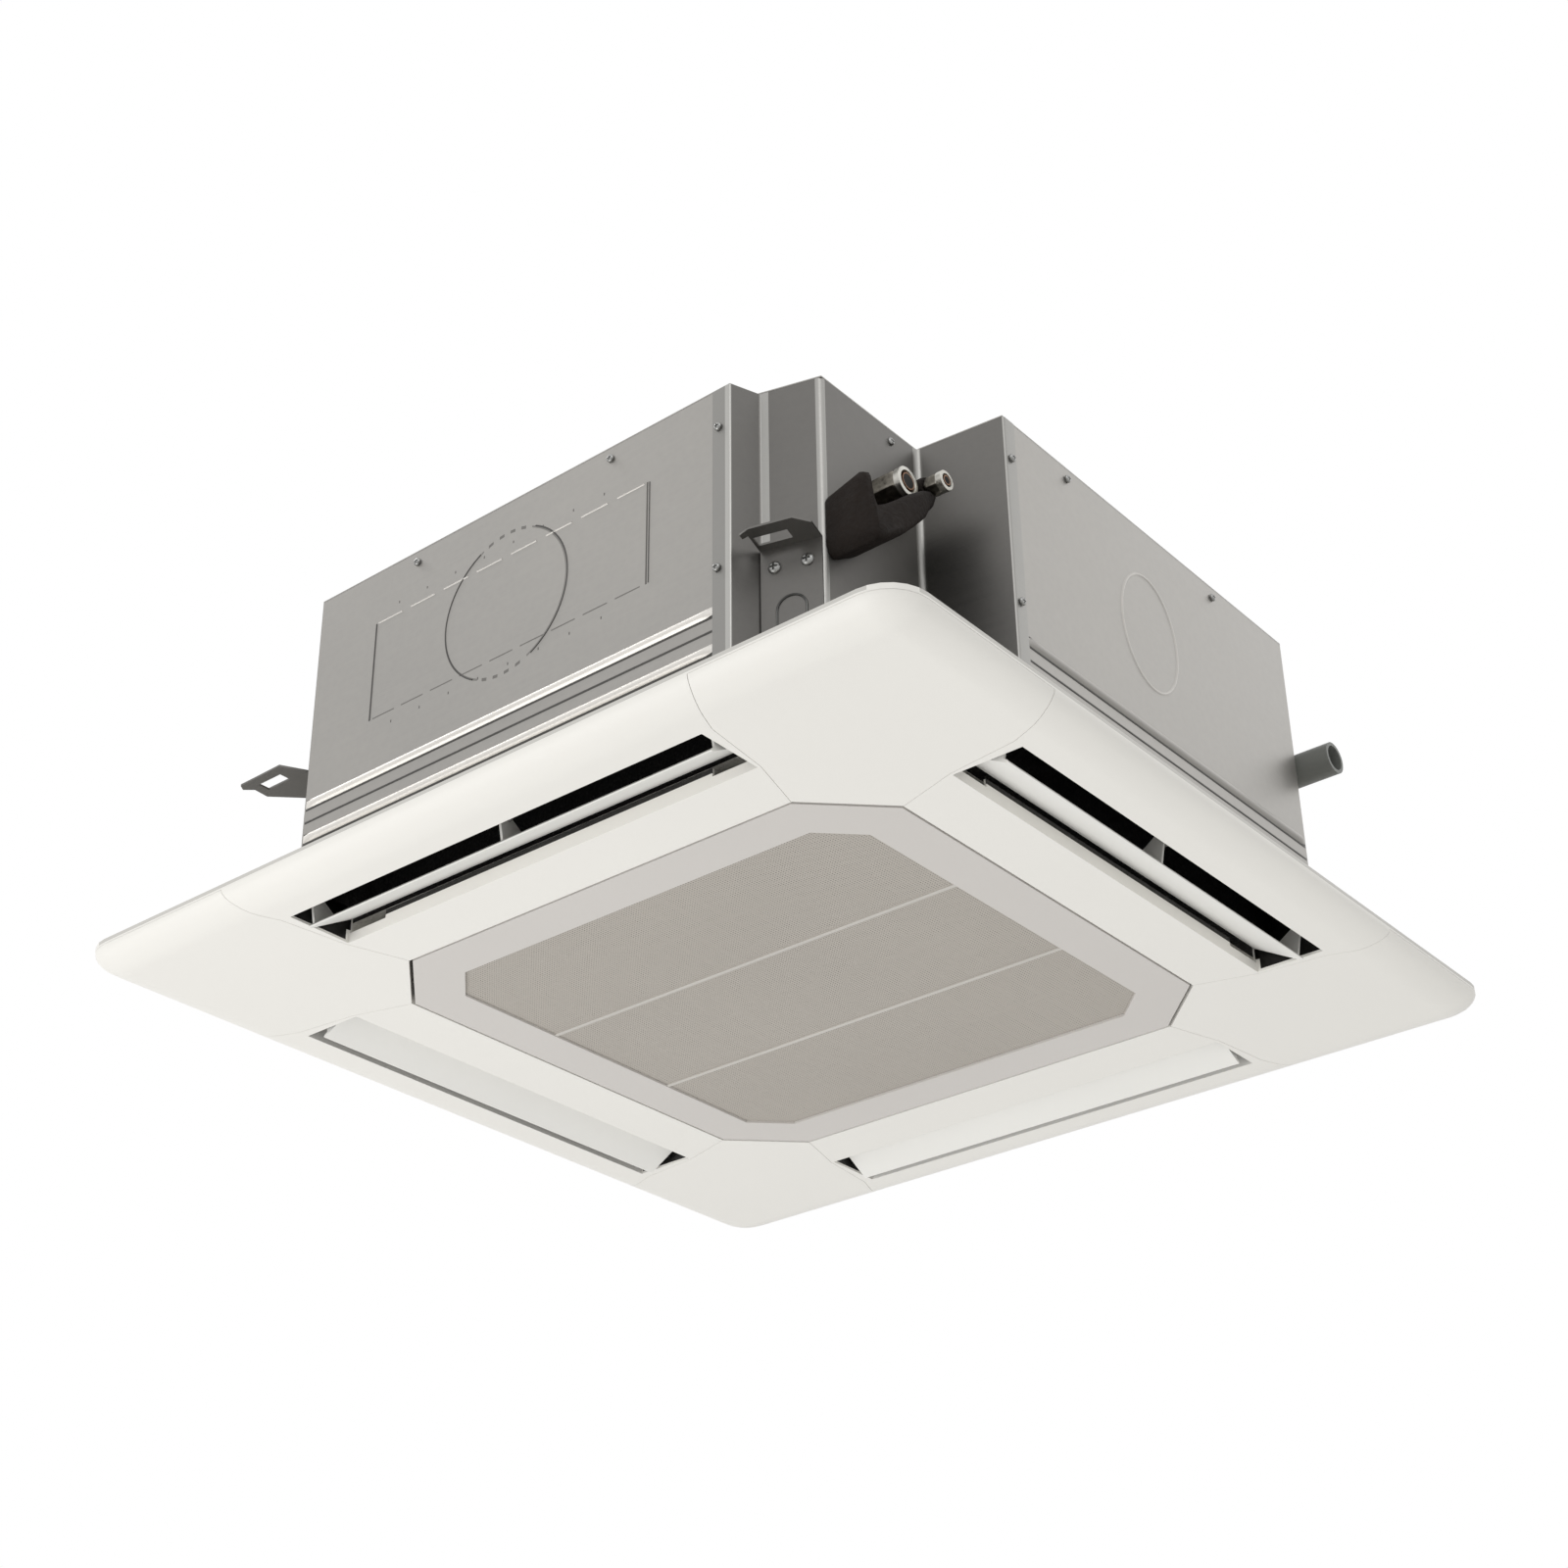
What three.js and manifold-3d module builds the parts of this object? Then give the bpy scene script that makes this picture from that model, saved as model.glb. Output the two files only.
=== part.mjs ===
// Four-way ceiling cassette air conditioner: casing, coil, fan, drain, piping and panel.
// Millimetres, +Z up. Heights are written from the ceiling plane; the finished group is lowered so that
// its origin is the point midway between the four hanging brackets, at the top of their tongues.
// Outlet sides are a (-Y), b (+X), c (+Y) and d (-X); the piping corner lies between a and b.
import * as THREE from 'three';
import { mergeVertices } from 'three/addons/utils/BufferGeometryUtils.js';
import Module from 'manifold-3d';

const wasm = await Module();
wasm.setup();

// ---- driving dimensions ----
const seat = 0.3; // gap left between pieces that touch
const slide = 0.5; // gap round pieces that move or lift off

const panelWidth = 950;
const panelOverhang = 55; // panel edge beyond the casing wall
const bodyWidth = panelWidth - 2 * panelOverhang;
const bodyHeight = 298;
const bodyLift = 14; // casing bottom above the ceiling plane
const cornerCut = 184; // leg of each cut corner
const sheet = 1.2;
const wallFoam = 12;
const roofFoam = 18;

const notchRun = 150; // piping notch, measured in from the corner along side a
const notchFootRun = 141;
const notchFootDepth = 26;
const notchFaceDepth = 42;
const notchWallInset = 85;
const notchLength = 175;

const hangInsetX = 117.5; // slot centres, in from the casing walls
const hangInsetY = 15;
const hangHeight = 148;
const bracketSheet = 2;
const bracketFoot = 58; // lowest edge of the bracket plates
const slotLength = 30;
const slotWidth = 12;

const panelCornerRadius = 38;
const rimHeight = 5;
const panelDrop = 22;
const panelSkin = 5;
const coverSkin = 2.2;
const coverSeam = 0.5;
const ductWall = 2.5;

const outletBand = 54; // panel edge to outlet
const outletWidth = 68.5;
const outletEndInset = 234; // outlet end to the panel edge beside it
const outletLength = panelWidth - 2 * outletEndInset;
const lipDrop = 18; // top of the inner outlet lip below the outer duct wall
const pocketLength = 48;
const pocketDrop = 8;

const vaneChord = 58;
const vaneThickness = 3;
const vaneEndGap = 5; // vane end to the end of its outlet
const vaneLength = outletLength - 2 * vaneEndGap;
const vaneEdgeGap = 4; // closed vane to the outer edge of its outlet
const vaneFlush = 1.5; // closed vane's middle above the panel face
const vaneOpen = 30; // degrees, as the vanes stand in the photograph
const vaneRoom = 16; // kept free over the casing floor for a fully swung vane
const pivotRise = 22.6;
const pivotSetback = 18.2;
const pinRadius = 3;
const armThickness = 2.5;

const innerBand = 61; // outlet to intake
const intakeWidth = panelWidth - 2 * (outletBand + outletWidth + innerBand);
const intakeChamfer = 65;
const grilleGap = 2.5;
const grilleSkin = 3;
const grilleRib = 7;
const grilleBorder = 48; // grille edge to the mesh
const meshWidth = intakeWidth - 2 * (grilleGap + grilleBorder);
const meshChamfer = 36;
const latticeThickness = 2;
const latticeColumns = 20;
const latticeBar = 4.5;
const bandRib = 6; // the two ribs that part the lattice into three bands
const filterLap = 12; // filter beyond the mesh
const filterWidth = meshWidth + 2 * filterLap;
const filterThickness = 2;
const hingeInset = 11.5; // grille hinge axis from the intake edge
const hingeRise = 0.5; // hinge axis above the inner face of the grille plate
const hingeOffset = 180;
const hingePin = 1.3;
const earRadius = 2.3;
const earWidth = 4;
const lugWidth = 3;
const catchOffset = 150;
const catchTravel = 5;

const coilInset = 122; // coil face from the casing wall
const coilThickness = 40;
const coilCornerRadius = 110;
const coilTop = 286;
const coilEndInset = 195; // the coil's two ends stop here, at the piping corner
const endPlate = 1.5;
const endPlateMargin = 5;

const panInset = 71;
const panHeight = 50;
const panFloor = 42;
const panRim = 9;
const boreRoom = 10; // pan bore beyond the bell mouth

const throatLap = 6; // throat inside the fan's eye
const throatTop = 72;
const bellFlare = 54;
const bellSkin = 2.5;
const bellPlate = 3;
const bellPlateInset = 140; // plate edge from the casing wall

const fanRoom = 28; // fan to the inner face of the coil
const fanRing = 74; // shroud, from the eye to the fan's edge
const fanFloor = 75; // lowest edge of the shroud
const fanRoof = 236;
const fanSkin = 3;
const bladeCount = 7;
const bladeThickness = 2.6;
const shaftRadius = 6;
const hubFloor = 158;
const motorRadius = 70;
const motorFloor = 192;
const motorRoof = 285;
const footReach = 92;
const mountRadius = 9;

const boxLength = 300;
const boxDepth = 98;
const boxFloor = 4;
const boxHeight = 42;
const boxInset = 88.5; // outer side from the casing wall

const pumpInsetX = 120; // pump, drain and float, in from the casing walls
const pumpInsetY = 145;
const pumpRadius = 24;
const pumpHeight = 112;
const drainInset = 158;
const drainHeight = 182.5;
const drainReach = 29; // drain stub beyond the casing
const drainRadius = 16;
const drainBore = 12.5;
const hoseRadius = 11;
const hoseWall = 2.5;
const floatInsetX = 164;
const floatInsetY = 104;

const gasRadius = 8;
const gasInset = 102; // pipe centres from the wall of side a
const gasHeight = 216;
const gasReach = 42; // flare end beyond the notch wall
const liquidRadius = 4.8;
const liquidInset = 135;
const liquidHeight = 228;
const liquidReach = 58;
const coverInset = 43; // near side of the pipe cover from the wall of side a
const coverFoot = 130;
const coverReach = 32;
const coverNose = 61;

// ---- derived places ----
const half = bodyWidth / 2;
const hangPitchX = bodyWidth - 2 * hangInsetX;
const hangPitchY = bodyWidth - 2 * hangInsetY;
const coilOuter = half - coilInset;
const coilEnd = half - coilEndInset;
const panHalf = half - panInset;
const fanRadius = coilOuter - coilThickness - fanRoom;
const fanEye = fanRadius - fanRing;
const throatRadius = fanEye - throatLap;
const bellRadius = throatRadius + bellFlare;
const panBore = bellRadius + boreRoom;
const bellHalf = half - bellPlateInset;
const boxInnerEdge = half - boxInset - boxDepth;
const pumpX = half - pumpInsetX;
const pumpY = half - pumpInsetY;
const drainY = half - drainInset;
const floatX = half - floatInsetX;
const floatY = half - floatInsetY;
const gasY = gasInset - half;
const liquidY = liquidInset - half;
const coverNear = coverInset - half;
const bodyFloor = bodyLift;
const bodyRoof = bodyLift + bodyHeight;
const panelHalf = panelWidth / 2;
const panelFace = -panelDrop;
const outletOuter = panelHalf - outletBand;
const outletInner = outletOuter - outletWidth;
const ductTop = bodyFloor - seat;
const intakeHalf = intakeWidth / 2;
const grilleHalf = intakeHalf - grilleGap;
const foamInner = sheet + seat + wallFoam;
const panTop = bodyFloor + panHeight;
const panFloorTop = bodyFloor + panFloor;
const notchWallX = half - notchWallInset;
const hingeHeight = panelFace + grilleSkin + hingeRise;
const pivotY = -(outletOuter - vaneEdgeGap - pivotSetback);
const pivotHeight = panelFace + vaneFlush + pivotRise;

const unit = new THREE.Group();
unit.name = 'ceiling_cassette';
unit.position.z = -hangHeight;

// ---- solid helpers ----
function solid(geometry) {
  geometry.deleteAttribute('normal');
  geometry.deleteAttribute('uv');
  const merged = mergeVertices(geometry, 1e-4);
  return new wasm.Manifold(new wasm.Mesh({
    numProp: 3,
    vertProperties: new Float32Array(merged.attributes.position.array),
    triVerts: new Uint32Array(merged.index.array),
  }));
}

function geometryOf(body) {
  const mesh = body.getMesh();
  const geometry = new THREE.BufferGeometry();
  geometry.setAttribute('position', new THREE.BufferAttribute(mesh.vertProperties, 3));
  geometry.setIndex(new THREE.BufferAttribute(mesh.triVerts, 1));
  return geometry;
}

function area(points) {
  let sum = 0;
  points.forEach(([x, y], i) => {
    const [nx, ny] = points[(i + 1) % points.length];
    sum += x * ny - nx * y;
  });
  return sum / 2;
}

function slab(points, low, high) {
  const ring = area(points) > 0 ? points : [...points].reverse();
  const shape = new THREE.Shape(ring.map(([x, y]) => new THREE.Vector2(x, y)));
  const geometry = new THREE.ExtrudeGeometry(shape, { depth: high - low, bevelEnabled: false });
  return solid(geometry.translate(0, 0, low));
}

function box(x0, x1, y0, y1, z0, z1) {
  const geometry = new THREE.BoxGeometry(x1 - x0, y1 - y0, z1 - z0);
  return solid(geometry.translate((x0 + x1) / 2, (y0 + y1) / 2, (z0 + z1) / 2));
}

function turned(profile, segments) {
  const points = profile.map(([r, z]) => new THREE.Vector2(r, z));
  return solid(new THREE.LatheGeometry(points, segments).rotateX(Math.PI / 2));
}

function rod(radius, x, y, z0, z1, segments = 20) {
  const geometry = new THREE.CylinderGeometry(radius, radius, z1 - z0, segments).rotateX(Math.PI / 2);
  return solid(geometry.translate(x, y, (z0 + z1) / 2));
}

function rodX(radius, x0, x1, y, z, segments = 20) {
  const geometry = new THREE.CylinderGeometry(radius, radius, x1 - x0, segments).rotateZ(Math.PI / 2);
  return solid(geometry.translate((x0 + x1) / 2, y, z));
}

function section(points, x0, x1) {
  const turnedUp = slab(points, x0, x1);
  return turnedUp.rotate([90, 0, 90]);
}

function tube(points, radius, steps, sides = 10) {
  const circle = new THREE.Shape();
  for (let i = 0; i < sides; i += 1) {
    const angle = (2 * Math.PI * i) / sides;
    const place = [radius * Math.cos(angle), radius * Math.sin(angle)];
    if (i === 0) circle.moveTo(...place);
    else circle.lineTo(...place);
  }
  const path = new THREE.CatmullRomCurve3(points.map((p) => new THREE.Vector3(...p)), false, 'centripetal');
  return solid(new THREE.ExtrudeGeometry(circle, { steps, bevelEnabled: false, extrudePath: path }));
}

function inset(points, distance) {
  return points.map((point, i) => {
    const before = points[(i + points.length - 1) % points.length];
    const after = points[(i + 1) % points.length];
    const [ax, ay] = unitVector(before, point);
    const [bx, by] = unitVector(point, after);
    const scale = distance / (1 + ax * bx + ay * by);
    return [point[0] - (ay + by) * scale, point[1] + (ax + bx) * scale];
  });
}

function unitVector(from, to) {
  const length = Math.hypot(to[0] - from[0], to[1] - from[1]);
  return [(to[0] - from[0]) / length, (to[1] - from[1]) / length];
}

function chamferedSquare(reach, leg) {
  const short = reach - leg;
  return [[-short, -reach], [short, -reach], [reach, -short], [reach, short],
    [short, reach], [-short, reach], [-reach, short], [-reach, -short]];
}

function finish(color, roughness, metalness) {
  return new THREE.MeshStandardMaterial({ color, roughness, metalness });
}

const galvanised = () => finish(0xa7a5a1, 0.42, 0.85);
const panelWhite = () => finish(0xf0eeea, 0.45, 0);
const grilleGrey = () => finish(0xcdc9c5, 0.5, 0);
const meshGrey = () => finish(0xa59e98, 0.6, 0);
const foamWhite = () => finish(0xe6e4df, 0.9, 0);
const ductBlack = () => finish(0x1c1b19, 0.7, 0);
const copper = () => finish(0xb87349, 0.35, 1);
const brass = () => finish(0xc2a35a, 0.35, 1);
const aluminium = () => finish(0xc4c8ca, 0.4, 0.9);
const greyPlastic = () => finish(0x74766f, 0.6, 0);
const darkPlastic = () => finish(0x2c2f30, 0.6, 0);
const rubber = () => finish(0x202020, 0.9, 0);

function add(name, body, material, parent = unit) {
  const mesh = new THREE.Mesh(geometryOf(body), material);
  mesh.name = name;
  parent.add(mesh);
}

// ---- casing ----
const casing = [
  [-half + cornerCut, -half],
  [half - notchRun, -half],
  [half - notchFootRun, -half + notchFootDepth],
  [notchWallX, -half + notchFaceDepth],
  [notchWallX, -half + notchLength],
  [half, -half + cornerCut],
  [half, half - cornerCut],
  [half - cornerCut, half],
  [-half + cornerCut, half],
  [-half, half - cornerCut],
  [-half, -half + cornerCut],
];
const gasHole = () => rodX(gasRadius + slide, notchWallX - 40, notchWallX + 80, gasY, gasHeight);
const liquidHole = () => rodX(liquidRadius + slide, notchWallX - 40, notchWallX + 80, liquidY, liquidHeight);
const drainHole = () => rodX(drainRadius + slide, half - 90, half, drainY, drainHeight, 28);

// A sheet that follows the casing outline from one vertex to another, short of its ends by half a seam.
function wallSheet(first, last) {
  const inner = inset(casing, sheet);
  const outerRun = [];
  const innerRun = [];
  for (let i = first; i <= last; i += 1) {
    outerRun.push([...casing[i % casing.length]]);
    innerRun.push([...inner[i % casing.length]]);
  }
  const trim = (run, end, next) => {
    const [dx, dy] = unitVector(run[end], run[next]);
    run[end][0] += dx * seat;
    run[end][1] += dy * seat;
  };
  const lastIndex = outerRun.length - 1;
  [outerRun, innerRun].forEach((run) => {
    trim(run, 0, 1);
    trim(run, lastIndex, lastIndex - 1);
  });
  return slab([...outerRun, ...innerRun.reverse()], bodyFloor, bodyRoof - sheet - seat);
}

function buildCasing() {
  add('top_plate', slab(casing, bodyRoof - sheet, bodyRoof), galvanised());
  add('side_panel_a', wallSheet(0, 1), galvanised());
  const pipingPlate = wallSheet(1, 5).subtract(gasHole()).subtract(liquidHole());
  add('piping_corner_plate', pipingPlate, galvanised());
  add('side_panel_b', wallSheet(5, 6), galvanised());
  add('drain_corner_plate', wallSheet(6, 7).subtract(drainHole()), galvanised());
  add('side_panel_c', wallSheet(7, 8), galvanised());
  add('far_corner_plate', wallSheet(8, 9), galvanised());
  add('side_panel_d', wallSheet(9, 10), galvanised());
  add('left_corner_plate', wallSheet(10, 11), galvanised());

  const foamRoof = bodyRoof - sheet - seat;
  let foam = slab(inset(casing, sheet + seat), bodyFloor, foamRoof);
  foam = foam.subtract(slab(inset(casing, foamInner), bodyFloor - 1, foamRoof - roofFoam));
  motorFeet().forEach(([x, y]) => {
    foam = foam.subtract(rod(mountRadius + slide, x, y, foamRoof - roofFoam - 1, foamRoof + 1));
  });
  foam = foam.subtract(gasHole()).subtract(liquidHole()).subtract(drainHole());
  const vaneEnd = vaneLength / 2 + 2;
  for (let turn = 0; turn < 4; turn += 1) {
    const room = box(-vaneEnd, vaneEnd, foamInner - half, -outletInner, bodyFloor - 1, bodyFloor + vaneRoom);
    foam = foam.subtract(room.rotate([0, 0, 90 * turn]));
  }
  add('casing_insulation', foam, foamWhite());
}

// ---- hanging brackets ----
// Tongue outline of a bracket on a cut corner, from its slot centre, for the corner at +X +Y.
const tongue = [[26, -13.7], [25, 2], [8.5, 15.7], [-25.5, 16.3]];
const hook = [[33.5, 9.5], [29.5, 15.5]];

function cornerBracket(signX, signY, hooked) {
  const rootSum = 2 * half - cornerCut + seat * Math.SQRT2;
  const centre = [hangPitchX / 2, hangPitchY / 2];
  const outline = [tongue[0], tongue[1], ...(hooked ? hook : []), tongue[2], tongue[3]]
    .map(([x, y]) => [centre[0] + x, centre[1] + y]);
  const back = (outline[0][0] + outline[0][1] - rootSum) / 2;
  const nearRoot = [outline[0][0] - back, outline[0][1] - back];
  const farRoot = [centre[0] - 40, rootSum - centre[0] + 40];
  outline.unshift(nearRoot);
  outline.push(farRoot);
  const mirror = ([x, y]) => [signX * x, signY * y];
  const out = bracketSheet / Math.SQRT2;
  const foot = [nearRoot, farRoot, [farRoot[0] + out, farRoot[1] + out],
    [nearRoot[0] + out, nearRoot[1] + out]];
  const slot = box(centre[0] - slotLength / 2, centre[0] + slotLength / 2,
    centre[1] - slotWidth / 2, centre[1] + slotWidth / 2, hangHeight - 10, hangHeight + 10)
    .translate([(signX - 1) * centre[0], (signY - 1) * centre[1], 0]);
  return slab(outline.map(mirror), hangHeight - bracketSheet, hangHeight)
    .add(slab(foot.map(mirror), bracketFoot, hangHeight))
    .subtract(slot);
}

// The bracket of the piping corner stands on the slanted face of the notch.
function notchBracket() {
  const foot = casing[2];
  const end = casing[3];
  const along = unitVector(foot, end);
  const width = 54;
  const reach = 36;
  const middle = [(foot[0] + end[0]) / 2, (foot[1] + end[1]) / 2];
  const place = ([u, v]) => [
    middle[0] + u * along[0] + v * along[1],
    middle[1] + u * along[1] - v * along[0],
  ];
  const slotPoint = [hangPitchX / 2 - middle[0], -hangPitchY / 2 - middle[1]];
  const slotU = slotPoint[0] * along[0] + slotPoint[1] * along[1];
  const slotV = slotPoint[0] * along[1] - slotPoint[1] * along[0];
  const w = width / 2;
  const tonguePlan = [[-w, seat], [w, seat], [w, reach - 12], [w - 12, reach], [-w + 4, reach],
    [-w - 6, reach - 5], [-w - 6, reach - 11], [-w, reach - 9]];
  const slotPlan = [[-1, -1], [1, -1], [1, 1], [-1, 1]]
    .map(([u, v]) => [slotU + (u * slotLength) / 2, slotV + (v * slotWidth) / 2]);
  const platePlan = [[-w, seat], [w, seat], [w, seat + bracketSheet], [-w, seat + bracketSheet]];
  return slab(tonguePlan.map(place), hangHeight - bracketSheet, hangHeight)
    .add(slab(platePlan.map(place), bracketFoot, hangHeight))
    .subtract(slab(slotPlan.map(place), hangHeight - 10, hangHeight + 10));
}

function buildBrackets() {
  add('hanging_bracket_piping', notchBracket(), galvanised());
  add('hanging_bracket_left', cornerBracket(-1, -1, true), galvanised());
  add('hanging_bracket_far', cornerBracket(-1, 1, true), galvanised());
  add('hanging_bracket_drain', cornerBracket(1, 1, false), galvanised());
}

// ---- coil ----
function coilPath(reach, radius, reverse) {
  const points = [[coilEnd, -reach]];
  const corners = [[-1, -1], [-1, 1], [1, 1]];
  const turns = 7;
  corners.forEach(([sx, sy], corner) => {
    for (let i = 0; i <= turns; i += 1) {
      const angle = -Math.PI / 2 - ((corner + i / turns) * Math.PI) / 2;
      points.push([sx * (reach - radius) + radius * Math.cos(angle),
        sy * (reach - radius) + radius * Math.sin(angle)]);
    }
  });
  points.push([reach, -coilEnd]);
  return reverse ? points.reverse() : points;
}

function buildCoil() {
  const outer = coilPath(coilOuter, coilCornerRadius, false);
  const inner = coilPath(coilOuter - coilThickness, coilCornerRadius - coilThickness, true);
  const bottom = panFloorTop + seat;
  add('heat_exchanger', slab([...outer, ...inner], bottom, coilTop), aluminium());
  const near = coilOuter - coilThickness - endPlateMargin;
  const far = coilOuter + endPlateMargin;
  const low = coilEnd + seat;
  add('coil_end_plate_a', box(low, low + endPlate, -far, -near, bottom, coilTop), galvanised());
  add('coil_end_plate_b', box(near, far, -low - endPlate, -low, bottom, coilTop), galvanised());
}

// ---- drain pan, pump, float and drain ----
function buildDrain() {
  const square = chamferedSquare(panHalf, 1);
  const clear = inset(casing, foamInner + seat);
  const innerClear = inset(casing, foamInner + seat + panRim);
  const basin = slab(chamferedSquare(panHalf - panRim, 1), panFloorTop, panTop + 1)
    .intersect(slab(innerClear, panFloorTop, panTop + 1))
    .subtract(rod(panBore + panRim, 0, 0, panFloorTop - 1, panTop + 2, 48));
  const recess = box(-boxInnerEdge - boxDepth - slide, -boxInnerEdge + slide,
    -boxLength / 2 - slide, boxLength / 2 + slide, bodyFloor - 1, boxFloor + boxHeight + seat);
  const pan = slab(square, bodyFloor, panTop)
    .intersect(slab(clear, bodyFloor - 1, panTop + 1))
    .subtract(basin)
    .subtract(rod(panBore, 0, 0, bodyFloor - 1, panTop + 1, 48))
    .subtract(recess);
  add('drain_pan', pan, foamWhite());

  const base = panFloorTop + seat;
  const cavity = pumpRadius - 8;
  const chamber = base + 36;
  let pump = turned([[0, chamber], [cavity, chamber], [cavity, base], [pumpRadius - 4, base],
    [pumpRadius - 4, chamber + 4], [pumpRadius + 3, chamber + 4], [pumpRadius + 3, chamber + 8],
    [pumpRadius, chamber + 8], [pumpRadius, base + pumpHeight - 14], [pumpRadius - 5, base + pumpHeight],
    [0, base + pumpHeight]], 24).translate([pumpX, pumpY, 0]);
  const spigotEnd = pumpX + pumpRadius + 4;
  pump = pump.add(rodX(hoseRadius - hoseWall, pumpX + cavity + 1, spigotEnd, drainY, base + 24));
  pump = pump.subtract(rod(cavity, pumpX, pumpY, base - 1, chamber, 24));
  for (let i = 0; i < 3; i += 1) {
    const slot = box(0, pumpRadius + 2, -5, 5, base - 1, base + 7).rotate([0, 0, 45 + 120 * i]);
    pump = pump.subtract(slot.translate([pumpX, pumpY, 0]));
  }
  add('drain_pump', pump, darkPlastic());

  const wheelFloor = base + 10;
  let wheel = rod(2.5, pumpX, pumpY, wheelFloor, chamber - seat, 12);
  wheel = wheel.add(rod(cavity - 3, pumpX, pumpY, wheelFloor, wheelFloor + 2, 24));
  for (let i = 0; i < 4; i += 1) {
    const blade = box(1, cavity - 3, -1, 1, wheelFloor + 1, wheelFloor + 10).rotate([0, 0, 90 * i]);
    wheel = wheel.add(blade.translate([pumpX, pumpY, 0]));
  }
  add('pump_impeller', wheel, greyPlastic());

  const socketStart = half - 51;
  let socket = rodX(drainRadius, socketStart, half + drainReach, drainY, drainHeight, 28);
  socket = socket.subtract(rodX(drainBore, socketStart + 10, half + drainReach + 1, drainY, drainHeight, 28));
  add('drain_socket', socket, greyPlastic());

  const riser = (spigotEnd + socketStart) / 2;
  const low = base + 24;
  const run = (end) => [[spigotEnd + seat - end, drainY, low], [spigotEnd + seat + 5, drainY, low],
    [riser, drainY, low + 24], [riser, drainY, drainHeight - 24],
    [socketStart - seat - 5, drainY, drainHeight], [socketStart - seat + end, drainY, drainHeight]];
  const hose = tube(run(0), hoseRadius, 18, 8).subtract(tube(run(2), hoseRadius - hoseWall, 18, 8));
  add('drain_hose', hose, rubber());

  const stemTop = base + 58;
  const stem = rod(9, floatX, floatY, base, base + 3, 20)
    .add(rod(3, floatX, floatY, base, stemTop, 12))
    .add(rod(8, floatX, floatY, stemTop - 6, stemTop, 20));
  add('float_switch', stem, greyPlastic());
  const floatRing = rod(11, floatX, floatY, base + 3 + seat, base + 25, 20)
    .subtract(rod(3 + slide, floatX, floatY, base, base + 30, 12));
  add('float', floatRing, foamWhite());
}

// ---- fan and motor ----
function motorFeet() {
  return [90, 210, 330].map((degrees) => {
    const angle = (degrees * Math.PI) / 180;
    return [footReach * Math.cos(angle), footReach * Math.sin(angle)];
  });
}

function buildMotor() {
  const shaftTop = motorFloor + 38;
  let motor = turned([[0, motorFloor + 6], [28, motorFloor], [motorRadius - 14, motorFloor],
    [motorRadius, motorFloor + 14], [motorRadius, motorRoof - 10], [motorRadius - 8, motorRoof],
    [0, motorRoof]], 36);
  const footThickness = 4;
  motorFeet().forEach(([x, y]) => {
    const foot = box(motorRadius - 12, footReach + mountRadius, -mountRadius, mountRadius,
      motorRoof - 12 - footThickness, motorRoof - 12);
    motor = motor.add(foot.rotate([0, 0, (Math.atan2(y, x) * 180) / Math.PI]));
  });
  motor = motor.subtract(rod(shaftRadius + seat, 0, 0, motorFloor - 1, shaftTop, 20));
  add('fan_motor', motor, aluminium());
  const mountTop = bodyRoof - sheet - seat;
  motorFeet().forEach(([x, y], i) => {
    const stud = rod(mountRadius, x, y, motorRoof - 12 + seat, mountTop, 16);
    add(`motor_mount_${i + 1}`, stud, rubber());
  });
  add('motor_shaft', rod(shaftRadius, 0, 0, hubFloor - 16, shaftTop - seat), finish(0xb8bcc0, 0.3, 1));
  const nut = new THREE.CylinderGeometry(10, 10, 8, 6).rotateX(Math.PI / 2);
  const nutMiddle = hubFloor - seat - 4;
  const fanNut = solid(nut.translate(0, 0, nutMiddle))
    .subtract(rod(shaftRadius + seat, 0, 0, nutMiddle - 6, nutMiddle + 6));
  add('fan_nut', fanNut, finish(0xb8bcc0, 0.35, 1));
}

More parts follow.
